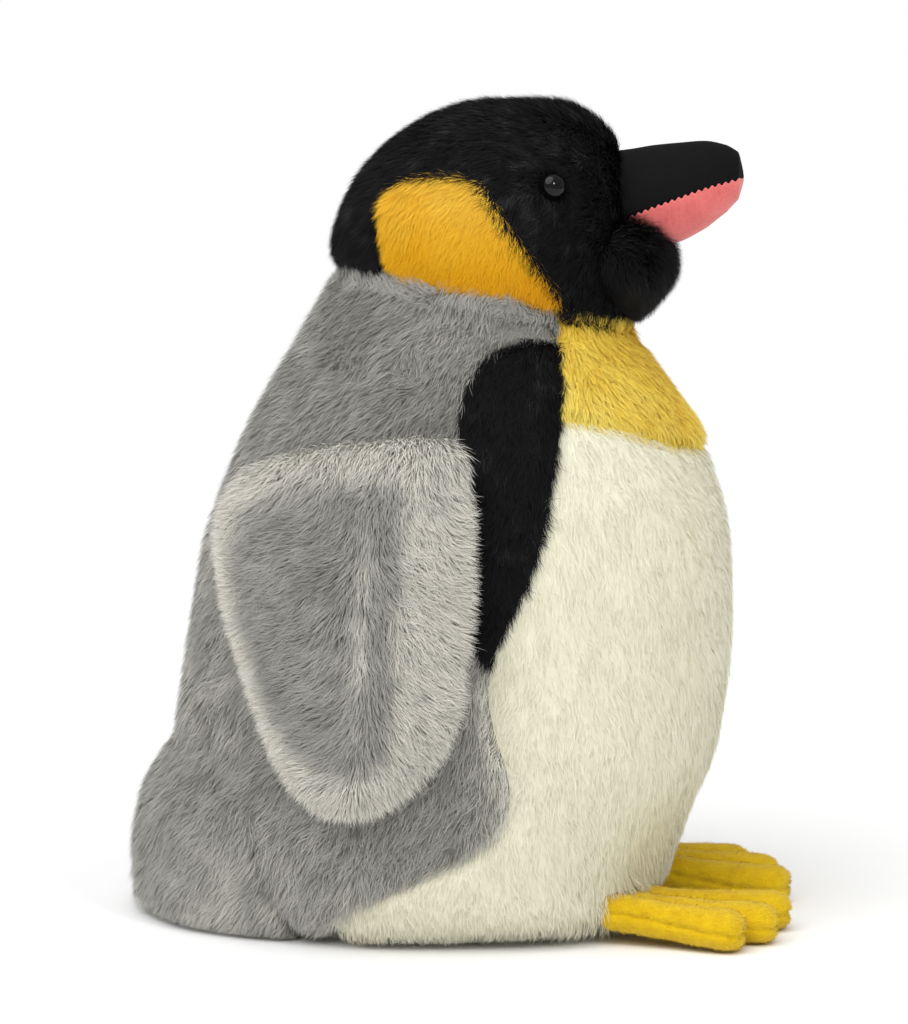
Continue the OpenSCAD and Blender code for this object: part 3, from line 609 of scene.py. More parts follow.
def chin_point(u, v, depth=0.0):
    """The chin: an ellipsoid, turned round its middle by u and up by v."""
    a = 2 * np.pi * np.asarray(u)
    t = np.radians(-88 + 176 * np.clip(v, 0, 1))
    d = np.stack([np.cos(t) * np.sin(a), -np.cos(t) * np.cos(a), np.sin(t)], -1)
    p = CHIN_MIDDLE + d * CHIN_RADII
    lump = 1.1 * cloud(p, 12 * MM, 31) * MM
    return p + unit(d / CHIN_RADII) * (lump - depth)[..., None]


def in_skull(p, grow=0.0):
    """True where a point lies within the skull: nearer the middle plane than the skull's
    side at the same height and depth."""
    q = p - LIFT
    r, a = skull_place(q[..., 1], q[..., 2])
    half = catmull(SKULL, r)[..., 4] * np.sin(np.radians(a))
    behind = q[..., 1] > catmull(SKULL, r)[..., 2] - grow
    return behind & (np.abs(p[..., 0]) < half + grow)


def eye_place(side):
    """Middle and outward direction of an eye."""
    a = side * EYE_ANGLE
    return ring_skin(SKULL, EYE_ROW, a) + LIFT, ring_normal(SKULL, EYE_ROW, a, CROWN_ROW)


# ---- beak -----------------------------------------------------------------------------


def beak_at(s):
    """The beak's section at a part s of its length, by a smooth curve through its sections."""
    place = np.interp(s, BEAK_PROFILE[:, 0], np.arange(len(BEAK_PROFILE)))
    return catmull(BEAK_PROFILE, place)


def beak_point(up, out=0.0, lip=0.0):
    """Half of the beak: at each part of its length half an ellipse above or below the mouth
    seam, moved out by a distance; the lip rises past the seam in small scallops."""
    def point(u, v):
        s = BEAK_FROM + BEAK_SPAN * np.clip(v, 0, 1)
        g = beak_at(s)
        a = np.pi * np.clip(u, 0, 1)
        close = np.sqrt(np.clip(1 - (np.clip(v - TIP_FROM, 0, 1) / TIP_SPAN) ** 2, 0, 1))
        w = (np.maximum(BEAK_WIDTH / 2 * g[..., 4], 1.6 * MM) + out) * close
        tall = (np.maximum(up * (g[..., 1 if up > 0 else 3] - g[..., 2]) * MM * KZ, 0.6 * MM)
                + out) * close
        edge = np.abs(np.cos(a)) ** 10
        seam = g[..., 2] * MM * KZ + up * 0.1 * MM
        wave = lip * (0.5 + 0.5 * np.cos(s * SCALLOPS * 2 * np.pi))
        y = BEAK_ROOT_Y - s * BEAK_LENGTH
        return np.stack([w * np.cos(a) * up, y,
                         seam + up * tall * np.sin(a) + edge * wave], -1)
    return point


# ---- flippers -------------------------------------------------------------------------


def flipper_half(s):
    """Half the flipper's thickness from its middle (s 0) to its edge (s 1)."""
    rise = (FLIPPER_MIDDLE - FLIPPER_EDGE) * np.sqrt(np.clip(1 - s ** 2.6, 0, 1))
    return (FLIPPER_EDGE + rise) * MM


def flipper_place(side, a, h, w):
    """A point a towards the tail, h up and w out of the flipper's bent middle surface."""
    bend = -a * a / 2 / FLIPPER_BEND - h * h / 2 / FLIPPER_DROOP
    p = FLIPPER_ANCHOR + FLIPPER_BACK * a[..., None] + FLIPPER_UP * h[..., None] \
        + FLIPPER_OUT * (FLIPPER_OFFSET + bend + w)[..., None]
    return p * [side, 1, 1]


def flipper_point(side, outward):
    """One face of a flipper: its outline drawn towards its middle by v, standing half its
    thickness off the middle surface, with soft lumps and a shallow fold down the middle."""
    def point(u, v, depth=0.0):
        v = np.clip(v, 0, 1)
        ah = loop_at(FLIPPER_OUTLINE, u) * v[..., None]
        a, h = ah[..., 0], ah[..., 1]
        flat = np.stack([a, h, np.zeros_like(a)], -1)
        fold = -1.1 * valley((a - FLIPPER_PART) / MM, 5) * smooth(-h / MM, -48, -30) \
            * smooth(h / MM, -46, -30)
        tip = -0.9 * valley((h + 47 * MM) / MM, 2.5) * smooth(a / MM, 24, 8)
        lumps = (0.8 * cloud(flat, 20 * MM, 41) + fold + tip) * (1 - v ** 4) * MM
        w = flipper_half(v) - depth + lumps
        return flipper_place(side, a, h, w if outward else -w)
    return point


# ---- feet -----------------------------------------------------------------------------


def foot_level(y):
    """Mid height of the foot: it rises by up to 5 mm towards the root."""
    back = np.clip(1 - (FOOT_ROOT_Y - y) / TOE_REACH, 0, 1)
    return FOOT_MID + 5 * MM * back ** 1.6


def toe_rings(toe, side):
    """A toe as rings along its own line: fuller near the tip, closed by a round end, each
    ring an ellipse with flattened underside; the seam along its sides is drawn in later."""
    sideways, tip, reach = toe
    length = reach * TOE_REACH
    t = np.linspace(0, 1, 40)
    start = np.array([FOOT_SPREAD + sideways * MM, FOOT_ROOT_Y - 2 * MM, 0])
    end = np.array([FOOT_SPREAD + tip * MM, FOOT_ROOT_Y - length, 0])
    line = start + (end - start) * t[:, None]
    total = np.linalg.norm(end - start)
    along = t * total
    half = TOE_WIDTH * (0.42 + 0.075 * smooth(t, 0.45, 0.85) - 0.03 * valley(t - 0.42, 0.16))
    left = np.clip((total - along) / (TOE_WIDTH * 0.5), 0, 1)
    round_end = np.sqrt(np.clip(1 - (1 - left) ** 2, 0.0016, 1))
    w = half * round_end
    tall = (FOOT_MID - 0.1 * MM) * (0.94 + 0.1 * smooth(t, 0.4, 0.8)) * round_end ** 0.8
    a = np.linspace(0, 2 * np.pi, 40, endpoint=False)
    across = unit(np.cross((end - start), [0, 0, 1.0]))
    c, s = np.cos(a), np.sin(a)
    c = np.sign(c) * np.abs(c) ** 0.85
    s = np.sign(s) * np.abs(s) ** 0.85
    rings = line[:, None] + across * (w[:, None] * c)[..., None] \
        + np.array([0, 0, 1.0]) * (foot_level(line[:, 1])[:, None] + tall[:, None] * s)[..., None]
    return rings * [side, 1, 1]


def foot_mesh(name, side):
    """The foot: three toes and a root pad, melted into one skin by a fine remesh, smoothed,
    then its seam drawn in along mid height, with puckers and a dimple at each toe's tip."""
    shells = [ring_shell(toe_rings(t, side), facing=-side) for t in TOES]
    k = np.linspace(-1, 1, 24)
    a = np.linspace(0, 2 * np.pi, 40, endpoint=False)
    wide = np.sqrt(1 - np.clip(np.abs(k), 0, 0.995) ** 2.5)
    pad = np.stack([
        (FOOT_SPREAD + 15 * MM * k)[:, None] + 0 * a,
        FOOT_ROOT_Y - 9 * MM + 11 * MM * wide[:, None] * np.cos(a),
        FOOT_MID + 3.4 * MM + (FOOT_MID - 0.2 * MM) * wide[:, None] * np.sin(a),
    ], -1) * [side, 1, 1]
    shells.append(ring_shell(pad, facing=side))
    points, quads, tris, n = [], [], [], 0
    for p, q, t in shells:
        points.append(p)
        quads.append(q + n)
        tris.append(t + n)
        n += len(p)
    rough = make_piece(name + "_form", *(np.concatenate(x) for x in (points, quads, tris)))
    melt = rough.modifiers.new("melt", "REMESH")
    melt.mode, melt.voxel_size = "VOXEL", 0.0008
    soft = rough.modifiers.new("soft", "SMOOTH")
    soft.factor, soft.iterations = 0.5, 6
    mesh = bpy.data.meshes.new_from_object(
        rough.evaluated_get(bpy.context.evaluated_depsgraph_get()))
    bpy.data.objects.remove(rough)
    mesh.name = name
    co = np.zeros(len(mesh.vertices) * 3, np.float32)
    nrm = np.zeros(len(mesh.vertices) * 3, np.float32)
    mesh.vertices.foreach_get("co", co)
    mesh.vertices.foreach_get("normal", nrm)
    co, nrm = co.reshape(-1, 3).astype(float), nrm.reshape(-1, 3).astype(float)
    level = foot_level(co[:, 1]) + 0.8 * MM * np.sin(co[:, 1] / (13 * MM)) \
        + 0.3 * MM * cloud(co, 4 * MM, 51)
    seam = valley((co[:, 2] - level) / MM, 0.9) * smooth(np.abs(nrm[:, 2]), 0.95, 0.5)
    pucker = 0.75 + 0.35 * cloud(co, 3 * MM, 52)
    lumps = 0.28 * cloud(co, 7 * MM, 53) + 0.12 * cloud(co, 2.6 * MM, 54)
    co += nrm * ((-1.5 * seam * pucker + lumps) * MM)[:, None]
    for sideways, tip, reach in TOES:
        end = np.array([side * (FOOT_SPREAD + tip * MM), FOOT_ROOT_Y - reach * TOE_REACH,
                        FOOT_MID])
        near = np.linalg.norm(co - end, axis=1)
        co += nrm * (-1.3 * MM * valley(near / MM, 3.2))[:, None]
    co[:, 2] = np.maximum(co[:, 2], 0.25 * MM)
    mesh.vertices.foreach_set("co", co.astype(np.float32).ravel())
    mesh.polygons.foreach_set("use_smooth", np.ones(len(mesh.polygons), bool))
    mesh.update()
    obj = bpy.data.objects.new(name, mesh)
    scene.collection.objects.link(obj)
    return obj, co, nrm


# ---- finishes -------------------------------------------------------------------------


def colour(r, g, b):
    """A screen colour, 0 to 255, as linear light."""
    v = np.array([r, g, b]) / 255
    return (*np.where(v <= 0.04045, v / 12.92, ((v + 0.055) / 1.055) ** 2.4), 1)


def node(tree, kind, inputs=None, **settings):
    """A node with its settings and its inputs, each a value or another node's socket."""
    made = tree.nodes.new("ShaderNode" + kind)
    for key, value in settings.items():
        setattr(made, key, value)
    for key, value in (inputs or {}).items():
        if isinstance(value, bpy.types.NodeSocket):
            tree.links.new(value, made.inputs[key])
        else:
            made.inputs[key].default_value = value
    return made


def mixed(tree, factor, a, b, blend="MIX"):
    """Two colours mixed by a factor; returns the colour."""
    made = node(tree, "Mix", {0: factor, 6: a, 7: b}, data_type="RGBA", blend_type=blend)
    return made.outputs[2]


def ranged(tree, value, low, high, to_low=0.0, to_high=1.0):
    """A value carried from one range to another and held at its ends."""
    return node(tree, "MapRange", {"Value": value, "From Min": low, "From Max": high,
                                   "To Min": to_low, "To Max": to_high}).outputs[0]


def new_group(name, inputs, outputs):
    """An empty shader group with named sockets; returns it with its two end nodes."""
    tree = bpy.data.node_groups.new(name, "ShaderNodeTree")
    for label, kind in inputs:
        tree.interface.new_socket(name=label, in_out="INPUT", socket_type="NodeSocket" + kind)
    for label, kind in outputs:
        tree.interface.new_socket(name=label, in_out="OUTPUT", socket_type="NodeSocket" + kind)
    return tree, tree.nodes.new("NodeGroupInput"), tree.nodes.new("NodeGroupOutput")


def make_pile_tone():
    """Colour of pile fabric: the hair's own shade picks between three tones, its root is darkened
    as painted shade deep in the pile, its tip carries the tip colour, and single hairs stray in
    tone."""
    tree, entry, out = new_group(
        "pile_tone",
        [("Dark", "Color"), ("Middle", "Color"), ("Pale", "Color"), ("Tip", "Color"),
         ("Tip Share", "Float"), ("Root Dark", "Float"), ("Stray", "Float")],
        [("Color", "Color"), ("Roughness", "Float")])
    place = node(tree, "UVMap", uv_map="OFBake").outputs[0]
    split = node(tree, "SeparateXYZ", {0: place})
    shade, along = split.outputs[0], split.outputs[1]
    low = mixed(tree, ranged(tree, shade, 0.0, 0.5), entry.outputs["Dark"],
                entry.outputs["Middle"])
    body = mixed(tree, ranged(tree, shade, 0.5, 1.0), low, entry.outputs["Pale"])
    many = node(tree, "Math", {0: shade, 1: 173.0}, operation="MULTIPLY").outputs[0]
    noise = node(tree, "TexNoise", {"W": many, "Scale": 1.0, "Detail": 1.0},
                 noise_dimensions="1D").outputs[0]
    stray = ranged(tree, noise, 0.3, 0.7, -1.0, 1.0)
    stray = node(tree, "Math", {0: stray, 1: entry.outputs["Stray"]},
                 operation="MULTIPLY").outputs[0]
    gain = node(tree, "Math", {0: stray, 1: 1.0}, operation="ADD").outputs[0]
    # Painted shade: along the lower 0.6 of each hair the tone falls to Root Dark at the root.
    root = node(tree, "MapRange", {"Value": along, "From Min": 0.0, "From Max": 0.6,
                                   "To Min": entry.outputs["Root Dark"], "To Max": 1.0}).outputs[0]
    gain = node(tree, "Math", {0: gain, 1: root}, operation="MULTIPLY").outputs[0]
    grey = node(tree, "CombineXYZ", {0: gain, 1: gain, 2: gain}).outputs[0]
    body = mixed(tree, 1.0, body, grey, "MULTIPLY")
    share = node(tree, "Math", {0: ranged(tree, along, 0.45, 1.0), 1: entry.outputs["Tip Share"]},
                 operation="MULTIPLY").outputs[0]
    tree.links.new(mixed(tree, share, body, entry.outputs["Tip"]), out.inputs["Color"])
    tree.links.new(ranged(tree, along, 0.0, 1.0, 0.95, 0.62), out.inputs["Roughness"])
    return tree


def make_fleece_grain():
    """Grain of short fleece or felt: fine noise pills over a soft mottle. Puts out a mask
    for colour, a roughness and a height."""
    tree, entry, out = new_group("fleece_grain", [("Scale", "Float")],
                                 [("Mask", "Float"), ("Roughness", "Float"), ("Height", "Float")])
    where = node(tree, "TexCoord").outputs["Object"]
    fine = node(tree, "TexNoise", {"Vector": where, "Scale": entry.outputs["Scale"], "Detail": 4.0,
                                   "Roughness": 0.65}).outputs[0]
    wide = node(tree, "TexNoise", {"Vector": where, "Scale": 160.0, "Detail": 2.0}).outputs[0]
    both = node(tree, "Math", {0: ranged(tree, fine, 0.3, 0.7), 1: ranged(tree, wide, 0.3, 0.7)},
                operation="ADD").outputs[0]
    mask = node(tree, "Math", {0: both, 1: 0.5}, operation="MULTIPLY").outputs[0]
    tree.links.new(mask, out.inputs["Mask"])
    tree.links.new(ranged(tree, fine, 0.3, 0.7, 0.98, 0.75), out.inputs["Roughness"])
    tree.links.new(fine, out.inputs["Height"])
    return tree


PILE_TONE = make_pile_tone()
FLEECE_GRAIN = make_fleece_grain()


def grouped(tree, group, **values):
    """A group placed in a material with its own values; underscores stand for spaces."""
    made = tree.nodes.new("ShaderNodeGroup")
    made.node_tree = group
    for key, value in values.items():
        made.inputs[key.replace("_", " ")].default_value = value
    return made


def new_material(name, shader_values):
    """A material with a Principled shader; returns it, its tree and the shader."""
    material = bpy.data.materials.new(name)
    material.use_nodes = True
    tree = material.node_tree
    shader = tree.nodes["Principled BSDF"]
    for key, value in shader_values.items():
        shader.inputs[key].default_value = value
    return material, tree, shader


def pile_material(name, dark, middle, pale, tip, tip_share=0.35, root=0.45, stray=0.12,
                  sheen=0.2, gloss=0.25):
    """Pile fabric: its tone and roughness along each hair, and a fine fibre grain as bump; root is
    how dark the painted shade at the hair roots is.
    """
    material, tree, shader = new_material(name, {
        "Sheen Weight": sheen, "Sheen Roughness": 0.5, "Specular IOR Level": gloss})
    tone = grouped(tree, PILE_TONE, Dark=colour(*dark), Middle=colour(*middle),
                   Pale=colour(*pale), Tip=colour(*tip), Tip_Share=tip_share, Root_Dark=root,
                   Stray=stray)
    tree.links.new(tone.outputs["Color"], shader.inputs["Base Color"])
    tree.links.new(tone.outputs["Roughness"], shader.inputs["Roughness"])
    grain = grouped(tree, FLEECE_GRAIN, Scale=1800.0)
    rise = node(tree, "Bump", {"Strength": 0.25, "Distance": 0.0002,
                               "Height": grain.outputs["Height"]})
    tree.links.new(rise.outputs[0], shader.inputs["Normal"])
    return material


def fleece_material(name, low, high, scale=1400.0, bump=0.5, sheen=0.35):
    """Fleece, felt or fibre: two tones, roughness and bump from the same grain."""
    material, tree, shader = new_material(name, {
        "Sheen Weight": sheen, "Sheen Roughness": 0.6, "Specular IOR Level": 0.15})
    grain = grouped(tree, FLEECE_GRAIN, Scale=scale)
    tint = mixed(tree, grain.outputs["Mask"], colour(*low), colour(*high))
    tree.links.new(tint, shader.inputs["Base Color"])
    tree.links.new(grain.outputs["Roughness"], shader.inputs["Roughness"])
    rise = node(tree, "Bump", {"Strength": bump, "Distance": 0.0004,
                               "Height": grain.outputs["Height"]})
    tree.links.new(rise.outputs[0], shader.inputs["Normal"])
    return material


def knit_material(name, low, high, ribs=(330.0, 420.0), gloss=0.1):
    """Fine knit: two waves over the piece's own map, wales along it and courses across; its colour
    is darker in the furrows and lighter on the crests, a painted shade.
    """
    material, tree, shader = new_material(name, {
        "Sheen Weight": 0.02, "Sheen Roughness": 0.4, "Specular IOR Level": gloss})
    split = node(tree, "SeparateXYZ", {0: node(tree, "UVMap", uv_map="OFBake").outputs[0]})
    waves = []
    for axis, count in enumerate(ribs):
        turn = node(tree, "Math", {0: split.outputs[axis], 1: count},
                    operation="MULTIPLY").outputs[0]
        waves.append(node(tree, "Math", {0: turn}, operation="SINE").outputs[0])
    cloth = node(tree, "Math", {0: waves[0], 1: waves[1]}, operation="MULTIPLY").outputs[0]
    height = ranged(tree, cloth, -1.0, 1.0)
    grain = grouped(tree, FLEECE_GRAIN, Scale=900.0)
    # Painted shade: the furrows between the ribs take the dark tone, the crests the light one.
    tint = mixed(tree, height, colour(*low), colour(*high))
    worn = ranged(tree, grain.outputs["Mask"], 0.2, 0.8, 0.0, 0.35)
    tint = mixed(tree, worn, tint, colour(*low))
    tree.links.new(tint, shader.inputs["Base Color"])
    tree.links.new(ranged(tree, height, 0.0, 1.0, 0.85, 0.6), shader.inputs["Roughness"])
    rise = node(tree, "Bump", {"Strength": 0.45, "Distance": 0.0003, "Height": height})
    tree.links.new(rise.outputs[0], shader.inputs["Normal"])
    return material


def eye_material():
    """Moulded glossy black: clear coat, faint swirl of wear in its roughness."""
    material, tree, shader = new_material("eye_gloss", {
        "Coat Weight": 0.25, "Coat Roughness": 0.03, "Specular IOR Level": 0.12})
    where = node(tree, "TexCoord").outputs["Object"]
    wear = node(tree, "TexNoise", {"Vector": where, "Scale": 500.0, "Detail": 3.0}).outputs[0]
    tint = mixed(tree, wear, colour(6, 6, 7), colour(16, 15, 15))
    tree.links.new(tint, shader.inputs["Base Color"])
    tree.links.new(ranged(tree, wear, 0.3, 0.7, 0.06, 0.16), shader.inputs["Roughness"])
    return material


# root in each pile below sets its painted shade at the hair roots.
GREY = pile_material("grey_pile", (118, 117, 110), (164, 162, 154), (234, 230, 216),
                     (240, 239, 234), tip_share=0.4, root=0.6, stray=0.26)
CREAM = pile_material("cream_pile", (224, 219, 190), (240, 237, 214), (250, 248, 230),
                      (255, 254, 242), tip_share=0.5, root=0.93, stray=0.03, sheen=0.2)
# Black pile: its pale grey and its strong stray turn single hairs grey, painted glints of light on
# the black.
BLACK = pile_material("black_pile", (5, 5, 6), (13, 13, 15), (92, 91, 93), (46, 46, 49),
                      tip_share=0.3, root=0.4, stray=0.55, gloss=0.14, sheen=0.0)
YELLOW = pile_material("yellow_pile", (244, 188, 30), (255, 222, 76), (255, 238, 128),
                       (255, 238, 130), tip_share=0.4, root=0.9, stray=0.06, sheen=0.1,
                       gloss=0.12)
ORANGE = pile_material("orange_pile", (228, 148, 0), (246, 184, 10), (252, 208, 74),
                       (253, 212, 66), tip_share=0.3, root=0.84, stray=0.06, sheen=0.06,
                       gloss=0.1)
FLEECE = fleece_material("foot_fleece", (198, 157, 0), (229, 194, 2), sheen=0.15)
FLEECE_FUZZ = pile_material("foot_fuzz", (202, 162, 0), (230, 196, 6), (238, 208, 36),
                            (240, 212, 50), tip_share=0.3, root=0.85, stray=0.05, sheen=0.1)
PINK = fleece_material("beak_fleece", (200, 88, 86), (226, 116, 112), scale=1100.0, bump=0.4)
KNIT = knit_material("beak_knit", (6, 6, 7), (17, 17, 19))
EYE = eye_material()
FILLING = fleece_material("stuffing_fibre", (226, 226, 220), (250, 250, 246), scale=700.0,
                          bump=0.8)
BACKING = fleece_material("base_cloth", (206, 202, 186), (238, 234, 220), scale=900.0, bump=0.5)
PLASTIC = fleece_material("washer_plastic", (196, 196, 190), (214, 214, 208), scale=400.0,
                          bump=0.05, sheen=0.0)

for name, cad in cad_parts.items():
    finish = FILLING
    if "washer" in name:
        finish = PLASTIC
    elif name == "base_panel":
        finish = BACKING
    cad.data.materials.clear()
    cad.data.materials.append(finish)

# ---- body fur -------------------------------------------------------------------------

SHARE = 1.0


def hairs(seed, point, count, length, lean, width, lie, shade, facing=1, keep=None, ruffle=0.25,
          inset=0.5 * MM):
    """Hairs over a surface. lie, length, lean and shade are values, or functions of the
    root points, their normals and their places (u, v)."""
    rng = np.random.default_rng(seed)
    p, n, u, v = scatter(rng, point, int(count * SHARE), facing, keep)
    values = [x(p, n, u, v) if callable(x) else np.full(len(p), x) if np.ndim(x) == 0 else x
              for x in (length, lean, shade)]
    away = lie(p, n, u, v)
    spread = np.clip(values[2] + rng.normal(0, 0.08, len(p)), 0.02, 0.98)
    width = width / math.sqrt(SHARE)
    return pile(rng, p - n * inset, n, away, values[0], values[1], width, spread, ruffle)


def at_depth(point, depth):
    """A surface at a fixed depth under its own."""
    return lambda u, v: point(u, v, depth)


def body_lie(back=0.35):
    """Down the body, with a share backwards."""
    def lie(p, n, u, v):
        return down_lie(p, n, np.array([0, back, 0]))
    return lie


def fringe_lie(p, n, u, v):
    """Up and over the neck seam and outwards, every way a little."""
    stray = swirl(p, 2.5 * MM, 81) * 0.9 + swirl(p, 9 * MM, 84) * 0.6
    return unit(np.array([0, 0, 0.9]) + 0.45 * n + stray)


def fringe(seed, point, count, shade):
    """A narrow row of short hairs that stand up along the top edge of a torso panel and
    close the neck seam."""
    return hairs(seed, at_depth(point, SKIN_DEPTH), count, 5.5 * MM, 0.55, 0.24 * MM, fringe_lie,
                 shade, ruffle=0.9)


def top_band(point, low):
    """The part of a panel above a share of its height."""
    return lambda u, v, depth=0.0: point(u, low + (1 - low) * np.clip(v, 0, 1), depth)


def grey_shade(p, n, u, v):
    """Mottled grey: wide and fine patches, paler near the base, and darker from 14 cm up to the
    neck, a painted shade of the lit upper body.
    """
    tone = 0.42 + 0.2 * cloud(p, 26 * MM, 61) + 0.2 * cloud(p, 7 * MM, 62)
    # Painted shade: the tone drops by 0.2 over the top of the body, from 14 to 20 cm up.
    return tone + 0.14 * smooth(p[:, 2], 0.03, 0.0) - 0.2 * smooth(p[:, 2], 0.14, 0.2)


def back_shade(side):
    """Mottled grey that pales over the last few hairs beside the belly."""
    def shade(p, n, u, v):
        part = u if side > 0 else 1 - u
        low = smooth(v * TOP_ROW, STRIPE_LOW + 1, STRIPE_LOW - 1)
        return grey_shade(p, n, u, v) + 0.42 * smooth(part, 0.06, 0.0) * low
    return shade


def back_length(side):
    """Long pile, trimmed short above the stripe so that it doesn't hang over it."""
    def length(p, n, u, v):
        part = u if side > 0 else 1 - u
        return MM * (8.0 - 5.0 * valley(v * TOP_ROW - 15.8, 0.55) * smooth(part, 0.28, 0.14))
    return length


def outside_tail(p, u, v):
    """False where the tail lies over the back."""
    return ~((p[:, 1] > 60 * MM) & (np.abs(p[:, 0]) < 58 * MM) & (p[:, 2] < 60 * MM))


for side, name in ((1, "left"), (-1, "right")):
    point = back_point(side)
    coat = hairs(100 + side, at_depth(point, SKIN_DEPTH), 54000, back_length(side), 0.68,
                 BODY_HAIR, body_lie(0.4), back_shade(side), ruffle=0.5, keep=outside_tail)
    edging = fringe(105 + side, top_band(point, 0.945), 4200, grey_shade)
    furred("back_fur_" + name, shell_of(point, 60, 90), [coat, edging], 0.3, GREY, "torso",
           ["back_" + name], depth=0.4)

    point = stripe_point(side)
    # Stripe pile: hairs whose tone passes the middle turn pale grey, painted glints.
    coat = hairs(110 + side, at_depth(point, SKIN_DEPTH), 18000, 7 * MM, 0.76, BODY_HAIR,
                 body_lie(0.15),
                 lambda p, n, u, v: 0.34 + 0.25 * cloud(p, 5 * MM, 63), ruffle=0.45)
    furred("stripe_fur_" + name, shell_of(point, 16, 50), [coat], 0.2, BLACK, "torso",
           ["stripe_" + name])


def over_foot(p):
    """How near a point of the belly is to the root of a foot, from 0 to 1."""
    off = np.stack([np.abs(p[:, 0]) - FOOT_SPREAD, p[:, 1] - FOOT_ROOT_Y], -1)
    return valley(np.linalg.norm(off, axis=1) / MM, 24) * smooth(p[:, 2], 0.040, 0.018)


def belly_length(p, n, u, v):
    """Short pile that hangs longer over the feet."""
    return MM * (6.0 + 4.5 * over_foot(p))


def belly_lean(p, n, u, v):
    """Pile that lies down, and stands out a little over the feet."""
    return 0.8 - 0.15 * over_foot(p)


def belly_lie(p, n, u, v):
    """Straight down, a touch forwards."""
    return down_lie(p, n, np.array([0, -0.05, 0]))


# The belly's tone drops over its lowest 5 cm: painted shade of the floor.
coat = hairs(120, at_depth(belly_point, SKIN_DEPTH), 58000, belly_length, belly_lean, 0.2 * MM,
             belly_lie,
             lambda p, n, u, v: 0.5 + 0.16 * cloud(p, 24 * MM, 64) + 0.12 * cloud(p, 6 * MM, 65)
             - 0.25 * smooth(p[:, 2], 0.05, 0.0), ruffle=0.4)
furred("belly_fur", shell_of(belly_point, 70, 70), [coat], 0.4, CREAM, "torso",
       ["belly_panel"], depth=0.7)
coat = hairs(121, at_depth(chest_point, SKIN_DEPTH), 26000, 7 * MM, 0.77, BODY_HAIR,
             body_lie(0.0),
             lambda p, n, u, v: 0.5 + 0.18 * cloud(p, 16 * MM, 66) + 0.14 * cloud(p, 5 * MM, 67)
             + 0.22 * smooth(v, 0.5, 0.0) - 0.25 * smooth(v, 0.55, 1.0), ruffle=0.4)
edging = fringe(125, top_band(chest_point, 0.85), 2600, 0.35)
furred("chest_fur", shell_of(chest_point, 60, 26), [coat, edging], 0.4, YELLOW, "torso",
       ["chest_panel"], depth=0.6)

coat = hairs(130, at_depth(tail_point, 0.6 * MM), 36000, 8.5 * MM, 0.68, 0.22 * MM,
             body_lie(0.5), grey_shade, ruffle=0.5)
furred("tail_fur", shell_of(tail_point, 60, 40), [coat], 0.3, GREY, "torso", ["tail_skin"],
       depth=0.4)

# ---- head fur -------------------------------------------------------------------------


def head_lie(p, n, u, v):
    """Back over the crown and down the sides, parted round the eyes and the beak's root."""
    away = np.zeros_like(p)
    away[:, 1] = 0.9
    away[:, 2] = -0.75 + 0.5 * smooth(p[:, 1], -0.03, -0.06)
    for side in (1, -1):
        middle, _ = eye_place(side)
        off = p - middle
        near = valley(np.linalg.norm(off, axis=1) / MM, 8)[:, None]
        away += unit(off) * near * 2.2
    return unit(away - n * np.sum(away * n, -1, keepdims=True))


def clear_of_eyes(p):
    """True outside both eye buttons."""
    clear = np.ones(len(p), bool)
    for side in (1, -1):
        clear &= np.linalg.norm(p - eye_place(side)[0], axis=1) > EYE_R * 0.9
    return clear


def clear_of_beak(p):
    """True away from where the beak is sewn to the face."""
    root = beak_at(np.array(0.0)) * MM
    q = (p[:, 2] - (root[1] + root[3]) / 2) / ((root[1] - root[3]) / 2)
    return (p[:, 1] > -0.045) | ((p[:, 0] / (BEAK_WIDTH / 2)) ** 2 + q ** 2 > 0.72)


def over_neck(p):
    """Height of a point over the plane of the neck seam."""
    return (p - [0, SKULL[0][0], SKULL[0][1]]) @ NECK_UP


def face_length(p, n, u, v):
    """Shorter pile round the eyes and the beak and along the neck seam."""
    near = sum(valley(np.linalg.norm(p - eye_place(s)[0], axis=1) / MM, 9) for s in (1, -1))
    return MM * (7.8 - 3.4 * near - 2.0 * smooth(p[:, 1], -0.045, -0.06)
                 - 3.0 * smooth(over_neck(p), 9 * MM, 1 * MM) * smooth(p[:, 1], -0.050, -0.035))


def under_cheek(p):
    """True in the narrow band between the cheek and the neck seam."""
    low = np.interp(p[:, 1], *CHEEK_LOWER)
    beside = (p[:, 1] > CHEEK_LOWER[0][0]) & (p[:, 1] < CHEEK_LOWER[0][-1])
    return (p[:, 2] < low + 1 * MM) & beside


def in_chin(p):
    """True where the chin covers the face."""
    return (((p - CHIN_MIDDLE) / CHIN_RADII) ** 2).sum(1) < 0.6


def black_shade(p, n, u, v):
    """Fine and wide patches of tone in the black pile; the hairs it lifts past the middle turn
    pale grey, painted glints.
    """
    return 0.36 + 0.24 * cloud(p, 3 * MM, 68) + 0.14 * cloud(p, 14 * MM, 69)


def on_head(p, u, v):
    """True where the side of the head is bare of eyes, beak, cheek and chin."""
    return (clear_of_eyes(p) & clear_of_beak(p)
            & ~inside_outline(p - LIFT, CHEEK_OUTLINE, CHEEK_MIDDLE, -1.0 * MM)
            & ~under_cheek(p - LIFT) & ~in_chin(p))


def cheek_lie(p, n, u, v):
    """Down and back along the cheek."""
    return unit(np.stack([0 * u, 0.45 + 0 * u, -0.8 + 0 * u], -1)
                - n * (0.45 * n[:, 1:2] - 0.8 * n[:, 2:3]))


def cheek_shade(p, n, u, v):
    """Yellow at the top of the cheek and orange at its lower end."""
    return 0.5 + 0.42 * smooth(p[:, 2], 0.232, 0.256) \
        - 0.3 * smooth(p[:, 2], 0.236, 0.220) + 0.12 * cloud(p, 9 * MM, 70)


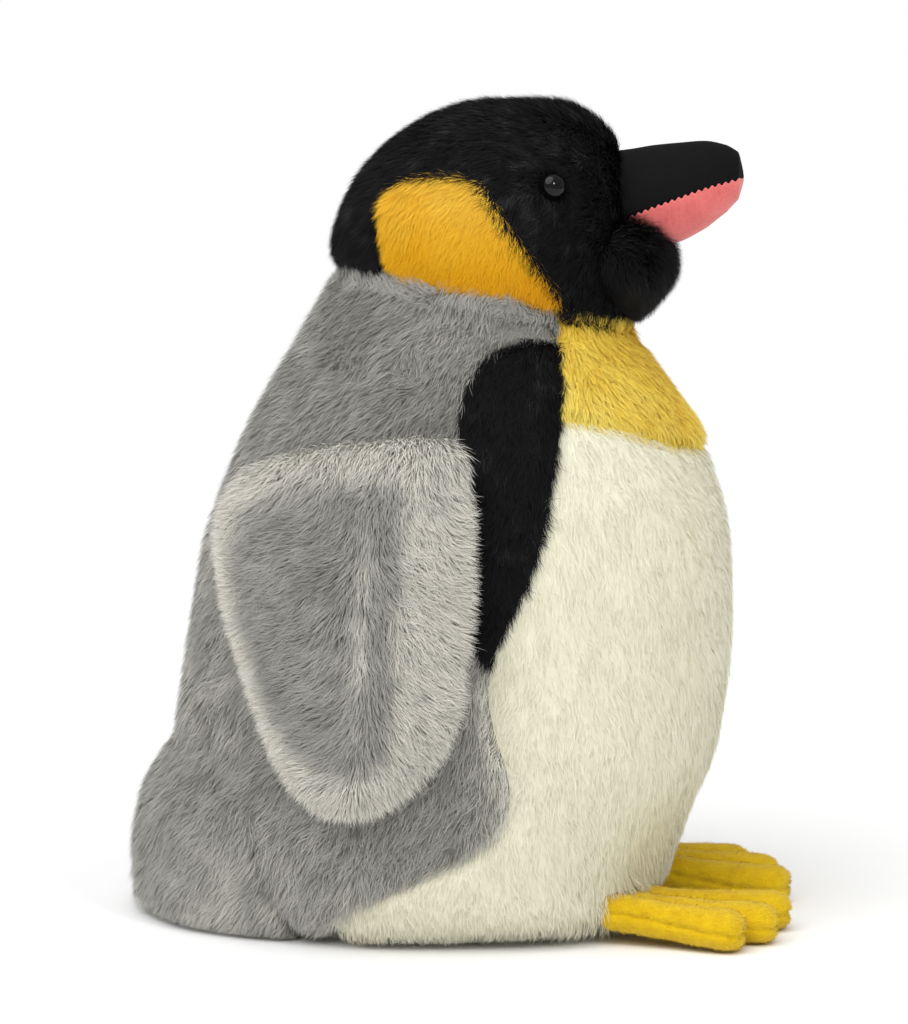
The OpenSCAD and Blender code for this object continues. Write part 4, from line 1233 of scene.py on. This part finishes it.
for side, name in ((1, "left"), (-1, "right")):
    point = head_side_point(side)
    coat = hairs(140 + side, at_depth(point, SKIN_DEPTH), 42000, face_length, 0.68, HEAD_HAIR,
                 head_lie, black_shade, keep=on_head, ruffle=0.6)
    furred("head_fur_" + name, shell_of(point, 50, 40), [coat], 0.15, BLACK, "head",
           ["head_side_" + name])

    point = cheek_point(side)
    t = np.linspace(0, 1, 72, endpoint=False)
    top, low = np.linspace(0.03, 1, 18), np.linspace(1, 0.03, 8)
    t2, v2 = np.meshgrid(t, np.concatenate([top, low]))
    depth = np.concatenate([np.full(18, SKIN_DEPTH), np.full(8, SKIN_DEPTH + SKIN_THICK)])
    rings = point(t2, v2, depth[:, None])
    coat = hairs(150 + side, at_depth(point, SKIN_DEPTH), 22000, 7 * MM, 0.75, HEAD_HAIR,
                 cheek_lie, cheek_shade, facing=-side, ruffle=0.35)
    furred("cheek_fur_" + name, ring_shell(rings, facing=-side), [coat], 0.45, ORANGE, "head",
           ["cheek_" + name], depth=0.6)

coat = hairs(160, at_depth(gusset_point, SKIN_DEPTH), 26000, face_length, 0.68, HEAD_HAIR,
             head_lie, black_shade, ruffle=0.6,
             keep=lambda p, u, v: clear_of_beak(p) & ~in_chin(p))
furred("crown_fur", shell_of(gusset_point, 24, 80), [coat], 0.15, BLACK, "head",
       ["head_gusset"])

t2, v2 = np.meshgrid(np.linspace(0, 1, 48, endpoint=False), np.linspace(0, 1, 26))
rings = chin_point(t2, v2, 1.0 * MM)
coat = hairs(161, at_depth(chin_point, 1.0 * MM), 22000, 7.5 * MM, 0.52, HEAD_HAIR,
             lambda p, n, u, v: down_lie(p, n, np.array([0, -0.25, 0])), black_shade,
             ruffle=0.7, keep=lambda p, u, v: ~in_skull(p, -1 * MM))
furred("chin_fur", ring_shell(rings), [coat], 0.15, BLACK, "head",
       ["chin_skin", "chin_stuffing"])

# ---- beak -----------------------------------------------------------------------------


def beak_piece(name, up, material, nodes, out=0.0, lip=0.0):
    """Half of the beak as cloth 1 mm thick; its map runs across and along both skins."""
    v, u = np.meshgrid(np.linspace(0, 1, 180), np.linspace(0, 1, 44), indexing="ij")
    outer = beak_point(up, out, lip)(u, v)
    inner = beak_point(up, out - 1.0 * MM, lip)(u, v)
    inner[-1] = outer[-1] * 0.5 + inner[-1] * 0.5
    points, quads, tris = grid_shell(outer, inner)
    uv = np.stack([u, v], -1).reshape(-1, 2)
    obj = make_piece(name, points, quads, tris, uv=np.concatenate([uv, uv]), material=material)
    return settle(obj, "head", nodes)


beak_piece("beak_upper_knit", 1, KNIT, ["beak_upper", "beak_stuffing"])
beak_piece("beak_lower_fleece", -1, PINK, ["beak_lower"], 0.25 * MM, 0.9 * MM)

# ---- eyes -----------------------------------------------------------------------------


def eye_piece(side, name):
    """A button eye turned about its own axis: a flat back, a tight rim, a dome that rises
    as an ellipse, and a stem behind the fabric."""
    middle, out = eye_place(side)
    t = np.linspace(0, np.pi / 2, 24)
    radius = np.concatenate([[1.7, 1.7, 3.9, 4.27], 4.3 * np.cos(t) ** 0.9 + 0.02]) * MM
    height = np.concatenate([[-7.2, -0.95, -0.95, -0.75], 3.3 * np.sin(t) - 0.5]) * MM
    across = unit(np.cross(out, [0, 0, 1.0]))
    up = np.cross(across, out)
    a = np.linspace(0, 2 * np.pi, 64, endpoint=False)
    rings = middle + out * height[:, None, None] + (
        across * np.cos(a)[:, None] + up * np.sin(a)[:, None]) * radius[:, None, None]
    points, quads, tris = ring_shell(rings, facing=-1)
    obj = make_piece("eye_button_" + name, points, quads, tris, material=EYE)
    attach(obj, "head")
    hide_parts("eye_" + name)


eye_piece(1, "left")
eye_piece(-1, "right")

# ---- flippers -------------------------------------------------------------------------


def flipper_lie(side, outward):
    """Down the flipper and away from its middle line, turning outwards near its edge."""
    back, up = FLIPPER_BACK * [side, 1, 1], FLIPPER_UP * [side, 1, 1]

    def lie(p, n, u, v):
        ah = loop_at(FLIPPER_OUTLINE, u)
        a = (ah * v[:, None])[:, 0] - FLIPPER_PART
        below = smooth((ah * v[:, None])[:, 1] / MM, 56, 22)
        part = (np.tanh(a / (13 * MM)) * below)[:, None]
        edge = (smooth(v, 0.8, 1.0) * (0.15 + 0.75 * below))[:, None]
        radial = unit(ah)
        away = -0.6 * up + back * (1.0 * part + edge * radial[:, :1]) \
            + up * edge * np.minimum(radial[:, 1:], 0.7)
        return unit(away - n * np.sum(away * n, -1, keepdims=True))
    return lie


def flipper_shade(p, n, u, v):
    """Darker in the field, pale along the edge, down the parting and in front of it."""
    ah = loop_at(FLIPPER_OUTLINE, u) * v[:, None]
    front = (FLIPPER_PART - ah[:, 0]) / MM
    streak = valley(front, 4.5) * smooth(np.abs(ah[:, 1]) / MM, 50, 15)
    tone = 0.22 + 0.15 * cloud(p, 18 * MM, 71) + 0.18 * cloud(p, 6 * MM, 72)
    pale = np.maximum(0.8 * smooth(v, 0.66, 0.92), 0.74 * smooth(front, 3, 14))
    return tone + pale + 0.5 * streak


for side, name in ((1, "left"), (-1, "right")):
    body = "flipper_" + name
    for outward, word in ((True, "outer"), (False, "inner")):
        point = flipper_point(side, outward)
        t = np.linspace(0, 1, 120, endpoint=False)
        top, low = np.linspace(0.02, 1, 26), np.linspace(1, 0.02, 8)
        t2, v2 = np.meshgrid(t, np.concatenate([top, low]))
        depth = np.concatenate([np.full(26, 1.0 * MM), np.full(8, 1.4 * MM)])
        facing = -side if outward else side
        coat = hairs(170 + side + 10 * outward, at_depth(point, 1.0 * MM),
                     46000 if outward else 16000,
                     lambda p, n, u, v: MM * (8.2 - 1.8 * smooth(v, 0.8, 1.0)), 0.7, BODY_HAIR,
                     flipper_lie(side, outward), flipper_shade, facing=facing, ruffle=0.42)
        shell = ring_shell(point(t2, v2, depth[:, None]), facing=facing)
        furred(f"flipper_fur_{name}_{word}", shell, [coat], 0.35, GREY, body,
               [f"flipper_{name}_{word}"], depth=0.4)

# ---- feet -----------------------------------------------------------------------------

for side, name in ((1, "left"), (-1, "right")):
    foot, co, nrm = foot_mesh("foot_fleece_" + name, side)
    foot.data.materials.append(FLEECE)
    settle(foot, "foot_" + name, [f"foot_{name}_{part}" for part in ("upper", "sole", "stuffing")])
    rng = np.random.default_rng(180 + side)
    pick = np.sort(rng.permutation(len(co))[:int(10000 * SHARE)])
    fuzz = pile(rng, co[pick] - nrm[pick] * 0.2 * MM, nrm[pick],
                np.tile([0, -1.0, -0.3], (len(pick), 1)), np.full(len(pick), 1.4 * MM), 0.6,
                0.22 * MM, rng.uniform(0.3, 0.9, len(pick)), 0.6)
    obj = make_piece("foot_fuzz_" + name, *fuzz[:3], uv=fuzz[3], normals=fuzz[4],
                     material=FLEECE_FUZZ)
    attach(obj, "foot_" + name)

# ---- floor, light and camera ----------------------------------------------------------

floor_shade, floor_tree, floor_shader = new_material("studio_floor", {
    "Base Color": (0.9, 0.9, 0.9, 1), "Roughness": 0.6, "Specular IOR Level": 0.15})
speck = node(floor_tree, "TexNoise", {"Vector": node(floor_tree, "TexCoord").outputs["Object"],
                                      "Scale": 40.0, "Detail": 2.0}).outputs[0]
floor_tree.links.new(mixed(floor_tree, speck, (0.96, 0.96, 0.96, 1), (0.98, 0.98, 0.98, 1)),
                     floor_shader.inputs["Base Color"])
span = 6.0
floor = make_piece("studio_floor", np.array([[-span, -span, 0], [span, -span, 0],
                                             [span, span, 0], [-span, span, 0.0]]),
                   np.array([[0, 1, 2, 3]]), np.zeros((0, 3), int), material=floor_shade)


def soft_light(name, place, size, power):
    """A square soft box that faces the middle of the penguin."""
    light = bpy.data.lights.new(name, "AREA")
    light.shape, light.size, light.energy = "SQUARE", size, power
    obj = bpy.data.objects.new(name, light)
    obj.location = place
    obj.rotation_euler = (Vector((0, 0, 0.14)) - Vector(place)).to_track_quat("-Z", "Y").to_euler()
    scene.collection.objects.link(obj)


soft_light("front_box", (-1.0, -0.75, 1.0), 0.2, 4)
sun = bpy.data.lights.new("overhead", "SUN")
sun.energy, sun.angle = 2.45, math.radians(65)
overhead = bpy.data.objects.new("overhead", sun)
overhead.rotation_euler = (-Vector((-0.55, 0.3, 1.05))).to_track_quat("-Z", "Y").to_euler()
scene.collection.objects.link(overhead)

world = bpy.data.worlds.new("studio")
world.use_nodes = True
sky = world.node_tree
backdrop = sky.nodes["Background"]
backdrop.inputs[0].default_value = (1, 1, 1, 1)
seen = sky.nodes.new("ShaderNodeLightPath").outputs["Is Camera Ray"]
sky.links.new(ranged(sky, seen, 0.0, 1.0, 0.45, 1.0), backdrop.inputs[1])
scene.world = world
scene.view_settings.view_transform = "Standard"

camera = bpy.data.objects.new("camera", bpy.data.cameras.new("camera"))
camera.data.sensor_width = 36
camera.data.lens = 109.86
bearing = math.radians(-84)
aim = Vector((0, 3 * MM, 142 * MM))
camera.location = Vector((1.1 * math.sin(bearing), aim.y - 1.1 * math.cos(bearing), 0.230))
camera.rotation_euler = (aim - camera.location).to_track_quat("-Z", "Y").to_euler()
camera.data.clip_start, camera.data.clip_end = 0.05, 30
scene.collection.objects.link(camera)
scene.camera = camera
